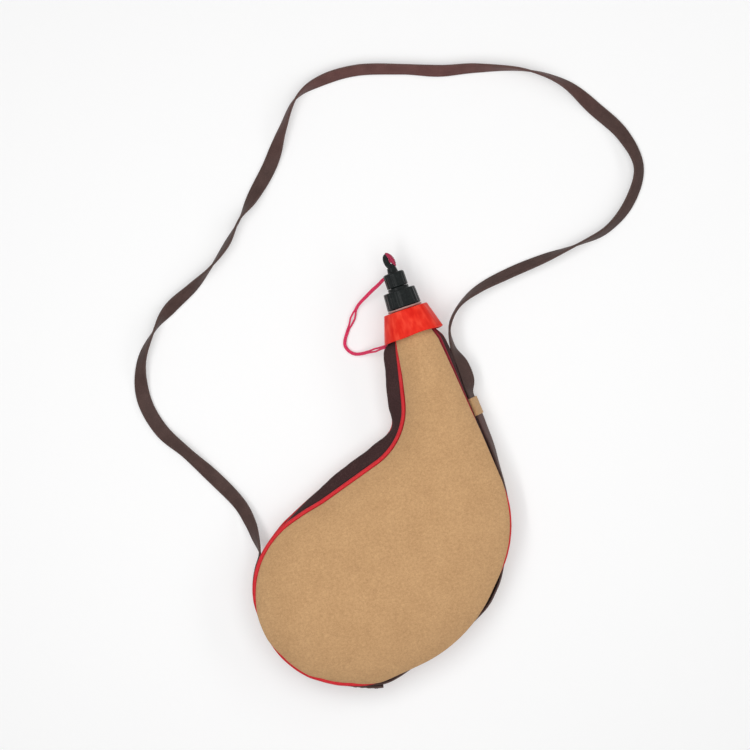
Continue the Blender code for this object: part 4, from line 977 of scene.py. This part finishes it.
# %% [markdown]
# ## The filling ring and the stopper
#
# Both are black caps with grip ribs. The ring screws on the spout and carries the drinking jet.
# The stopper screws on the jet and ends in an eyelet for the tether, which is joined to its
# dome by a Boolean union, because the two shapes have different axes.

# %% Turn the ring with its jet
profile = (
    (BORE, RING_Y + 0.002, 0), (BORE, RING_Y, 0.0003), (RING_FOOT, RING_Y, 0.0006),
    (RING_TOP, RING_TOP_Y, 0.0008), (JET_FLANGE, RING_TOP_Y, 0.0003),
    (JET_FLANGE, JET_FOOT_Y, 0.0004), (JET_RADIUS, JET_FOOT_Y, 0.0002),
    (JET_RADIUS, JET_TOP_Y, 0.0005), (JET_BORE, JET_TOP_Y, 0.0004), (JET_BORE, ROOF_Y, 0.0002),
    (BORE, ROOF_Y, 0.0002), (BORE, RING_Y + 0.0021, 0),
)
grip = ribs(RING_RIBS, RING_RIB_DEPTH, RING_Y + 0.0007, RING_TOP_Y - 0.0007, RING_INNER)
cut = thread_cut(JET_THREAD, JET_FOOT_Y + 0.0006, JET_TOP_Y - 0.0006, JET_RADIUS - 0.0003)
shape = loft(turned(profile, RING_RIBS * RIB_STEPS, 0.0005, [grip, cut]), wrap=True)
ring = make_piece("ribbed_ring_and_jet", shape, "ring", ["fill_ring"], 45)
print("ring has", RING_RIBS, "ribs")

# %% Turn the stopper and join its eyelet
profile = (
    (0, CAP_BORE_TOP_Y, 0), (CAP_BORE, CAP_BORE_TOP_Y, 0.0003), (CAP_BORE, STOPPER_Y, 0.0003),
    (STOPPER_RADIUS, STOPPER_Y, 0.0005), (STOPPER_RADIUS, STOPPER_TOP_Y, STOPPER_CHAMFER),
    (KNOB_RADIUS, STOPPER_TOP_Y, 0.0008), (KNOB_RADIUS * 0.85, STOPPER_TOP_Y + KNOB_HEIGHT, 0.0004),
    (0, STOPPER_TOP_Y + KNOB_HEIGHT, 0),
)
grip = ribs(STOPPER_RIBS, STOPPER_RIB_DEPTH, STOPPER_Y + 0.0005, STOPPER_TOP_Y - 0.0012, STOPPER_INNER)
shape = loft(turned(profile, STOPPER_RIBS * RIB_STEPS, 0.0006, [grip]))
stopper = make_piece("ribbed_stopper", shape, "stopper", ["stopper"], 45)

EYELET = AXIS + (EYELET_SHIFT, STOPPER_TOP_Y + EYELET_RISE, 0)


def eyelet_limb(angles):
    """The middle of the limb round the hole, and the reach from there to its outer side."""
    way = np.column_stack((np.sin(angles), np.cos(angles), np.zeros(len(angles))))
    outside, hole = way * (*EYELET_OUTSIDE, 0), way * (*EYELET_HOLE, 0) + (EYELET_HOLE_SHIFT, 0, 0)
    lean = np.array(Matrix.Rotation(EYELET_LEAN, 3, "Z")).T
    return EYELET + (outside + hole) @ lean / 2, (outside - hole) @ lean / 2


def join(piece, other):
    """Joins two closed meshes into one clean skin, and removes the loose one."""
    union = piece.modifiers.new("union", "BOOLEAN")
    union.operation, union.object, union.solver = "UNION", other, "EXACT"
    bpy.context.view_layer.update()
    made = piece.evaluated_get(bpy.context.evaluated_depsgraph_get())
    mesh = bpy.data.meshes.new_from_object(made)
    piece.modifiers.remove(union)
    piece.data = mesh
    bpy.data.objects.remove(other, do_unlink=True)
    piece.data.set_sharp_from_angle(angle=math.radians(35))


rings = []
for middle, reach in zip(*eyelet_limb(2 * np.pi * np.arange(EYELET_STEPS) / EYELET_STEPS)):
    half = np.linalg.norm(reach)
    section = rounded_box(half, EYELET_THICKNESS / 2, EYELET_CORNER)
    rings.append(middle + section[:, :1] * reach / half + section[:, 1:] * (0, 0, 1))
join(stopper, make_piece("eyelet", loft(rings, wrap=True), "stopper"))
print("stopper has", len(stopper.data.vertices), "points")

# %% [markdown]
# ## The tether's knots
#
# The cord is whipped round the eyelet in close turns, and at the collar it is tied with a small
# overhand knot to a loop round the neck. A helix on a ring makes the whipping, and a trefoil
# is the very curve that an overhand knot has once it is pulled tight.

# %% Wind the cord on the eyelet and tie it at the collar
WHIPPING_TURNS, WHIPPING_YARN = 13, 0.00042
WHIPPING_FROM, WHIPPING_TO = math.radians(6), math.radians(138)
WHIPPING_STEPS, WHIPPING_SINK = 26, 0.9  # steps in a turn, and how far the turns are pulled in
LEAD_STEPS, LEAD_SIDES = 60, (-0.0006, 0.0008)  # its two strands lie to the two sides
KNOT_STEPS, KNOT_SIZE = 120, np.array((0.62, 0.62, 0.95)) * 0.00085
KNOT_SHIFT = (-0.0008, -0.0004, 0)  # from the tether's end
NECK_LOOP_RADIUS, NECK_LOOP_RISE = 0.0163, 0.0033
NECK_LOOP_YARN, KNOT_YARN = 0.00075, 0.00055  # radii, as the cord is flattened and pulled tight


def tube_rings(path, radius=STRAND_RADIUS, closed=False):
    """Rings round a path in space, with a frame carried along so that it never flips."""
    along = (np.roll(path, -1, 0) - np.roll(path, 1, 0)) if closed else np.gradient(path, axis=0)
    along = unit(along)
    side, sides = np.cross(along[0], (0.3, 0.5, 0.8)), []  # any direction but along[0]
    for way in along:
        side = unit(side - way * (side @ way))
        sides.append(side)
    sides = np.array(sides)
    if closed:
        last, first = sides[-1], sides[0]
        drift = math.atan2(np.cross(last, first) @ along[0], last @ first)
        turn = (drift * np.arange(len(path)) / len(path))[:, None]
        sides = sides * np.cos(turn) + np.cross(along, sides) * np.sin(turn)
    return swept(path, sides, np.cross(along, sides), round_section(radius, YARN_SIDES))


s = np.linspace(0, 1, WHIPPING_TURNS * WHIPPING_STEPS)
winding = 2 * np.pi * WHIPPING_TURNS * s
middles, reaches = eyelet_limb(WHIPPING_FROM + (WHIPPING_TO - WHIPPING_FROM) * s)
half, clear = np.linalg.norm(reaches, axis=1)[:, None], WHIPPING_YARN * WHIPPING_SINK
whipping = middles - unit(reaches) * (half + clear) * np.cos(winding)[:, None]
whipping[:, 2] += (EYELET_THICKNESS / 2 + clear) * np.sin(winding)
tied = EYELET - np.array(TETHER_ROUTE[-1])
lead = EYELET + np.array([  # from the tether's end up to the eyelet, and under the turns
    -tied, -0.7 * tied + (0, 0.0004, 0), (0.0003, -0.0002, -0.0030),
    (0.0004, 0.0002, 0.0), (0.0008, 0.0006, 0.0014), (0.0016, 0.0009, 0.0019), (0.0026, 0.0008, 0.0016),
])
runs = [tube_rings(whipping, WHIPPING_YARN)]
runs += [tube_rings(smooth_path(lead + (0, side, 0), LEAD_STEPS)) for side in LEAD_SIDES]
yarn_piece("cord_whipping", runs, "stopper", ["tether_hitch"])

s = 2 * np.pi * np.arange(KNOT_STEPS) / KNOT_STEPS
trefoil = np.column_stack((np.sin(s) + 2 * np.sin(2 * s), np.cos(s) - 2 * np.cos(2 * s), -np.sin(3 * s)))
knot = trefoil * KNOT_SIZE + np.array(TETHER_ROUTE[0]) + KNOT_SHIFT
loop = np.column_stack((NECK_LOOP_RADIUS * np.cos(s), NECK_LOOP_RISE + 0 * s, NECK_LOOP_RADIUS * np.sin(s)))
runs = [tube_rings(AXIS + loop, NECK_LOOP_YARN, True), tube_rings(knot, KNOT_YARN, True)]
yarn_piece("cord_knot_and_neck_loop", runs, "bag", ["tether_anchor"], closed=True)
print("whipping has", WHIPPING_TURNS, "turns")

# %% [markdown]
# ## Shader maths as expressions
#
# A finish is a small network of nodes. To keep it readable, a wire wraps an output socket, and
# ordinary arithmetic on wires adds Math nodes. One method adds any other node: its settings are
# set first, then the values or links of its sockets.

# %% The wire
class Wire:
    """An output socket. Arithmetic on it adds Math nodes to its finish."""

    def __init__(self, finish, socket):
        self.finish, self.socket = finish, socket

    def math(self, operation, *values):
        """A Math node on these values or wires."""
        return self.finish.node("Math", dict(enumerate(values)), operation=operation)

    __add__ = __radd__ = lambda self, other: self.math("ADD", self, other)
    __mul__ = __rmul__ = lambda self, other: self.math("MULTIPLY", self, other)
    __sub__ = lambda self, other: self.math("SUBTRACT", self, other)
    __rsub__ = lambda self, other: self.math("SUBTRACT", other, self)
    __pow__ = lambda self, other: self.math("POWER", self, other)

    def sine(self):
        return self.math("SINE", self)

    def clamp(self):
        """The same between 0 and 1."""
        return self.math("MINIMUM", self.math("MAXIMUM", self, 0.0), 1.0)


# %% The finish
class Finish:
    """A material, or a world, whose nodes are added from Python values and wires."""

    def __init__(self, name, kind="materials"):
        self.holder = getattr(bpy.data, kind).new(name)
        self.holder.use_nodes = True
        self.tree = self.holder.node_tree
        self.tree.nodes.clear()

    def node(self, kind, sockets=None, out=0, **settings):
        """Adds a node with its settings, then its sockets' values or links, and wires one output."""
        made = self.tree.nodes.new("ShaderNode" + kind)
        stops = settings.pop("stops", ())
        for key, value in settings.items():
            setattr(made, key, value)
        for k, (place, colour) in enumerate(stops):
            ramp = made.color_ramp.elements
            element = ramp[k] if k < len(ramp) else ramp.new(place)
            element.position, element.color = place, (*colour, 1.0)
        for key, value in (sockets or {}).items():
            socket = made.inputs[key]
            if isinstance(value, Wire):
                self.tree.links.new(value.socket, socket)
            else:
                socket.default_value = (*value, 1.0) if socket.type == "RGBA" else value
        return Wire(self, made.outputs[out]) if made.outputs else None

    def millimetres(self, stretch=(1, 1, 1)):
        """Object coordinates in millimetres, stretched if a pattern needs it."""
        scale = tuple(1000.0 / s for s in stretch)
        return self.node("VectorMath", {0: self.node("TexCoord", out=3), 1: scale}, operation="MULTIPLY")

    def mark(self, name):
        """A number that the mesh carries at each vertex."""
        return self.node("Attribute", out=2, attribute_name=name)

    def noise(self, size, detail=2.0, place=None, rough=0.5):
        """Noise from 0 to 1 with lumps of this size in millimetres."""
        sockets = {"Vector": place or self.millimetres(), "Scale": 1.0 / size}
        return self.node("TexNoise", {**sockets, "Detail": detail, "Roughness": rough})

    def cells(self, size):
        """Distance to the nearest cell of leather grain, of this size in millimetres."""
        return self.node("TexVoronoi", {"Vector": self.millimetres(), "Scale": 1.0 / size})

    def mix(self, factor, first, second):
        """A colour between two, by a factor from 0 to 1."""
        return self.node("Mix", {0: factor, 6: first, 7: second}, out=2, data_type="RGBA")

    def ramp(self, factor, *stops):
        """A colour for a number, from stops (place, colour)."""
        return self.node("ValToRGB", {"Fac": factor}, stops=stops)

    def bump(self, height, depth):
        """A normal from a height between 0 and 1 that is this many millimetres deep."""
        return self.node("Bump", {"Height": height, "Distance": depth / 1000.0})

    def surface(self, *pieces, **sockets):
        """Ends the finish in a principled shader with these sockets, and gives it to the pieces."""
        named = {key.replace("_", " ").title().replace("Ior", "IOR"): v for key, v in sockets.items()}
        self.node("OutputMaterial", {"Surface": self.node("BsdfPrincipled", named)})
        self.paint(*pieces)

    def paint(self, *pieces):
        """Gives the finish to pieces, or to solids of the frame, in all their slots."""
        for piece in pieces:
            if isinstance(piece, str):
                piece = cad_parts.get(piece) or bpy.data.objects[piece]
            if not piece.material_slots:
                piece.data.materials.append(self.holder)
            for held in piece.material_slots:
                held.material = self.holder
        print(self.holder.name, "on", len(pieces), "pieces")


# %% [markdown]
# ## Suede
#
# Suede is the flesh side of the hide, brushed to a short nap. Seen closely it is a fine mottle
# of lighter fibre ends on a deeper ground, with faint clouds where the nap lies another way. It
# has no gloss, only a soft sheen at grazing angles.

# %% Mix the suede
suede = Finish("brushed_suede")
fibre, nap = suede.noise(0.75, 3.0, rough=0.65), suede.noise(0.35)
speckle, cloud = suede.noise(1.7), suede.noise(16.0)
brushed = suede.noise(1.0, place=suede.millimetres((2.6, 1.1, 2.0)))
colour = suede.ramp(
    0.42 * fibre + 0.30 * speckle + 0.16 * cloud + 0.12 * brushed,
    (0.30, (0.405, 0.230, 0.108)), (0.50, (0.535, 0.318, 0.153)), (0.70, (0.660, 0.410, 0.212)),
)
suede.surface(
    suede_front, suede_back, keeper,
    base_color=colour, roughness=0.86 + 0.12 * speckle, normal=suede.bump(0.5 * fibre + 0.5 * nap, 0.16),
    sheen_weight=0.25, sheen_roughness=0.5, sheen_tint=(1.0, 0.86, 0.68), specular_ior_level=0.15,
)

# %% [markdown]
# ## Leathers: piping, band and strap
#
# The piping is wrapped in a strip of red leathercloth that wrinkles finely across the cord, and
# beside the neck's right side it is painted darker as painted shade. The band is a softer dark
# leathercloth with a pebbled grain, rubbed lighter in soft patches. The strap is denser and
# smoother, with a lighter, more reddish tone painted halfway along it as painted light, and its
# cut edges are a little duller.

# %% Mix the red leathercloth of the piping
piping = Finish("red_leathercloth")
along, around = piping.mark("along") * 1000.0, piping.mark("around") * 3.0
drift, grain = piping.noise(2.2), piping.cells(0.5)
wrinkle = piping.noise(0.7, place=piping.node("CombineXYZ", {0: along, 1: around, 2: 2.0 * drift}))
colour = piping.ramp(
    (0.15 * wrinkle + 0.45 * drift + 0.40 * piping.noise(9.0)).clamp(),
    (0.2, (0.480, 0.016, 0.022)), (0.5, (0.600, 0.026, 0.034)), (0.85, (0.680, 0.048, 0.052)),
)
piping.surface(
    piping_front, piping_back,
    # Painted shade: near the right end beside the neck the red is mixed toward a dark wine.
    base_color=piping.mix(0.8 * piping.mark("painted_shade"), colour, (0.130, 0.010, 0.022)),
    roughness=0.42 + 0.16 * grain, normal=piping.bump(0.35 * wrinkle + 0.65 * grain, 0.07),
    specular_ior_level=0.13,
)

# %% Mix the dark leathercloth of the band
dark = Finish("dark_leathercloth")
grain, rubbed = dark.cells(0.85), dark.noise(11.0)
fold = dark.noise(5.0, 3.0, dark.millimetres((1.0, 1.0, 2.5)))
colour = dark.ramp(
    (0.5 * grain + 0.5 * rubbed).clamp(),
    (0.15, (0.026, 0.012, 0.012)), (0.5, (0.042, 0.019, 0.019)), (0.9, (0.070, 0.036, 0.034)),
)
dark.surface(
    band, base_color=colour, roughness=0.52 + 0.24 * rubbed,
    normal=dark.bump(0.5 * grain + 0.5 * fold, 0.14), specular_ior_level=0.13,
)

# %% Mix the strap leather
strap = Finish("strap_leather")
along, across = strap.mark("along"), strap.mark("across")
# Painted light: halfway along the free stretch the strap is painted a lighter, more reddish brown, for the
# light it lies in.
painted_light_share = (1.0 - ((along - 0.47) * 7.0) ** 2.0).clamp()  # halfway along the free stretch
edge = (across * across * 42000.0).clamp() ** 4.0
grain, cloud = strap.cells(0.55), strap.noise(7.0, 3.0)
tone = (0.35 * grain + 0.65 * cloud).clamp()
brown = strap.ramp(
    tone, (0.2, (0.042, 0.023, 0.020)), (0.5, (0.064, 0.036, 0.031)), (0.85, (0.098, 0.057, 0.050)),
)
# Painted light: a lighter, more reddish copy of the brown ramp, for the lit stretch.
painted_lit_russet = strap.ramp(
    tone, (0.2, (0.082, 0.034, 0.030)), (0.5, (0.118, 0.050, 0.045)), (0.85, (0.165, 0.075, 0.068)),
)
strap.surface(
    strap_free, "strap_along_rim", "strap_sewn_end",
    base_color=strap.mix(0.35 * edge, strap.mix(painted_light_share, brown, painted_lit_russet), (0.110, 0.075, 0.068)),
    roughness=0.50 + 0.14 * cloud + 0.10 * edge,
    normal=strap.bump(0.55 * grain + 0.45 * strap.noise(1.6, 3.0), 0.09), specular_ior_level=0.2,
)

# %% [markdown]
# ## Cord and thread
#
# The tether is spun yarn, so its ridges run as a helix round each strand: the sine of a length
# plus an angle. The same idea, finer and darker, makes the sewing thread.

# %% Mix the red cord and the dark thread
def yarn(name, dark_colour, light_colour, lay, *pieces):
    """Spun yarn whose ridges climb one pitch, in millimetres, for each turn round it."""
    made = Finish(name)
    along = made.mark("along") * (1000.0 * 2 * math.pi / lay)
    ridge = (along + made.mark("around") * (2 * 2 * math.pi)).sine() * 0.5 + 0.5
    fuzz = made.noise(0.5, 3.0)
    made.surface(
        *pieces, base_color=made.mix((0.6 * ridge + 0.4 * fuzz).clamp(), dark_colour, light_colour),
        roughness=0.62 + 0.2 * fuzz, normal=made.bump(ridge * 0.8 + fuzz * 0.2, 0.18),
        sheen_weight=0.2, sheen_roughness=0.4,
    )


clean = ("tether_to_collar", "tether_to_stopper", "cord_knot_and_neck_loop")
yarn("spun_red_cord", (0.56, 0.014, 0.066), (0.86, 0.045, 0.160), 1.3, *clean)
# Painted shade: the whipping's cord is painted darker than the other cords, for the shade round the eyelet.
yarn("painted_shade_red_cord", (0.150, 0.006, 0.022), (0.620, 0.032, 0.110), 1.3, "cord_whipping")
yarn("dark_sewing_thread", (0.030, 0.018, 0.016), (0.075, 0.045, 0.040), 0.9, thread)

# %% [markdown]
# ## Moulded plastics, rubber, steel and film
#
# The collar is a soft glossy red moulding with a faint ripple and fine scuffs, and lighter bands
# painted along it as highlights. The ring and the stopper are a greenish black plastic, less
# polished, with faint dust in soft patches. The pieces inside have plain finishes of their own,
# which show when the bag is opened.

# %% Mix the glossy red of the collar
glossy = Finish("glossy_red_plastic")
ripple = glossy.noise(6.0)
scuff = glossy.noise(0.6, 3.0, glossy.millimetres((5.0, 0.7, 5.0)))
# Painted highlight: lighter orange bands along the collar's axis, at random places, stand in for
# highlights.
painted_highlight_streak = glossy.noise(3.5, place=glossy.millimetres((1.0, 9.0, 1.0)))
colour = glossy.ramp(
    0.7 * painted_highlight_streak + 0.3 * ripple,
    (0.34, (0.740, 0.018, 0.010)), (0.50, (0.835, 0.034, 0.018)), (0.64, (0.900, 0.066, 0.036)),
)
glossy.surface(
    collar, base_color=colour, roughness=0.26 + 0.12 * scuff,
    normal=glossy.bump(ripple, 0.10), specular_ior_level=0.08,
)

# %% Mix the black plastic of the ring, the stopper and the spout
black = Finish("greenish_black_plastic")
dust, pit = black.noise(2.4, 4.0, rough=0.6), black.noise(0.4)
colour = black.mix((dust - 0.45).clamp() * 1.6, (0.004, 0.006, 0.006), (0.019, 0.023, 0.022))
black.surface(
    ring, stopper, spout, base_color=colour, roughness=0.17 + 0.16 * dust,
    normal=black.bump(0.4 * pit + 0.6 * dust, 0.014), specular_ior_level=0.18,
)

# %% Mix the pale washer, rubber, steel and bladder film
# Name, two close colours, size of the clouds, roughness, depth of the texture, metallic, piece
PLAIN = (
    ("pale_pink_plastic", (0.40, 0.20, 0.18), (0.52, 0.31, 0.28), 2.0, 0.40, 0.05, 0.0, washer),
    ("liner_plastic", (0.66, 0.60, 0.56), (0.78, 0.72, 0.68), 2.0, 0.45, 0.05, 0.0, "stopper_liner"),
    ("soft_gasket_rubber", (0.20, 0.19, 0.18), (0.30, 0.29, 0.28), 1.2, 0.68, 0.08, 0.0, "fill_gasket"),
    ("brushed_steel", (0.50, 0.51, 0.52), (0.62, 0.63, 0.64), 1.5, 0.26, 0.04, 1.0, "neck_clamp"),
    ("thin_bladder_film", (0.30, 0.26, 0.20), (0.42, 0.37, 0.30), 8.0, 0.34, 0.25, 0.0, "bladder"),
)
for name, low, high, size, roughness, depth, metallic, piece in PLAIN:
    made = Finish(name)
    cloud, fine = made.noise(size, 3.0), made.noise(size * 0.2)
    made.surface(
        piece, base_color=made.mix(cloud, low, high), roughness=roughness + 0.15 * fine,
        normal=made.bump(0.5 * cloud + 0.5 * fine, depth), metallic=metallic,
    )

# %% [markdown]
# ## The table and the light
#
# The bag lies on a plain white table under a large soft lamp, which throws the short soft shadows
# outward. Of the two long lamps at the sides, the left one makes the streaks on the collar. They
# are set so that a colour renders about as it is written. The table itself looks a little whiter
# to the camera than it is, and keeps its shadow. Far out it fades to plain white, as a paper
# sweep would, and so does the world beyond it, which gives a faint even light.

# %% Lay the table and fill the air
FLOOR_SIZE, FLOOR_DROP = 12.0, 0.0003
FLOOR_GLOW, SKY_LIGHT = 0.30, 0.18
GLOW_FROM, GLOW_OVER = 0.30, 1.4  # the table fades to plain white this far out, in metres
WHITE = (1.0, 1.0, 1.0)

mesh = bpy.data.meshes.new("table_top")
half = FLOOR_SIZE / 2
corners = ((-half, -half), (half, -half), (half, half), (-half, half))
mesh.from_pydata([(*corner, -FLOOR_DROP) for corner in corners], [], [(0, 1, 2, 3)])
table_top = bpy.data.objects.new("table_top", mesh)
bpy.context.scene.collection.objects.link(table_top)


def in_sight(made):
    """1 for what the camera sees, also in metal and glass, and 0 for light that falls on pieces."""
    kinds = ("Is Camera Ray", "Is Glossy Ray", "Is Transmission Ray")
    direct, mirrored, through = (made.node("LightPath", out=kind) for kind in kinds)
    return (direct + mirrored + through).clamp()


white = Finish("white_table")
paper = white.node("BsdfDiffuse", {"Color": (0.97, 0.97, 0.97)})
glow = white.node("Emission", {"Color": WHITE, "Strength": 1.0})
reach = white.node("VectorMath", {0: white.node("TexCoord", out=3)}, out=1, operation="LENGTH")
fade = ((reach - GLOW_FROM) * (1 / GLOW_OVER)).clamp()
whiter = in_sight(white) * (FLOOR_GLOW + (1 - FLOOR_GLOW) * fade)
white.node("OutputMaterial", {"Surface": white.node("MixShader", {0: whiter, 1: paper, 2: glow})})
white.paint(table_top)

air = Finish("white_studio", "worlds")
sky, beyond = (air.node("Background", {"Color": WHITE, "Strength": s}) for s in (SKY_LIGHT, 1.0))
air.node("OutputWorld", {"Surface": air.node("MixShader", {0: in_sight(air), 1: sky, 2: beyond})})
bpy.context.scene.world = air.holder
bpy.context.scene.view_settings.view_transform = "Standard"


# %% Hang the lamps
def hang_lamp(name, place, target, length, width, share, glossy):
    """A soft lamp, level along its length. Share is how much of a white surface's light it gives."""
    way = Vector(target) - Vector(place)
    spread = math.pi**2 * way.length**2 / (-way.z / way.length)
    lamp = bpy.data.lights.new(name, "AREA")
    lamp.shape, lamp.size, lamp.size_y, lamp.energy = "RECTANGLE", length, width, share * spread
    hung = bpy.data.objects.new(name, lamp)
    hung.location = place
    hung.rotation_euler = way.to_track_quat("-Z", "Y").to_euler()
    hung.visible_camera, hung.visible_glossy = False, glossy
    bpy.context.scene.collection.objects.link(hung)
    print(name, "gives", share)


hang_lamp("overhead_lamp", (0.03, 0.13, 0.85), (0.03, 0.13, 0), 1.1, 1.1, 0.92, False)
hang_lamp("left_lamp", (-0.40, 0.20, 0.95), (0.06, 0.13, 0), 1.2, 0.10, 0.20, True)
hang_lamp("right_lamp", (0.95, 0.05, 0.60), (0.06, 0.13, 0), 1.2, 0.25, 0.10, False)

# %% [markdown]
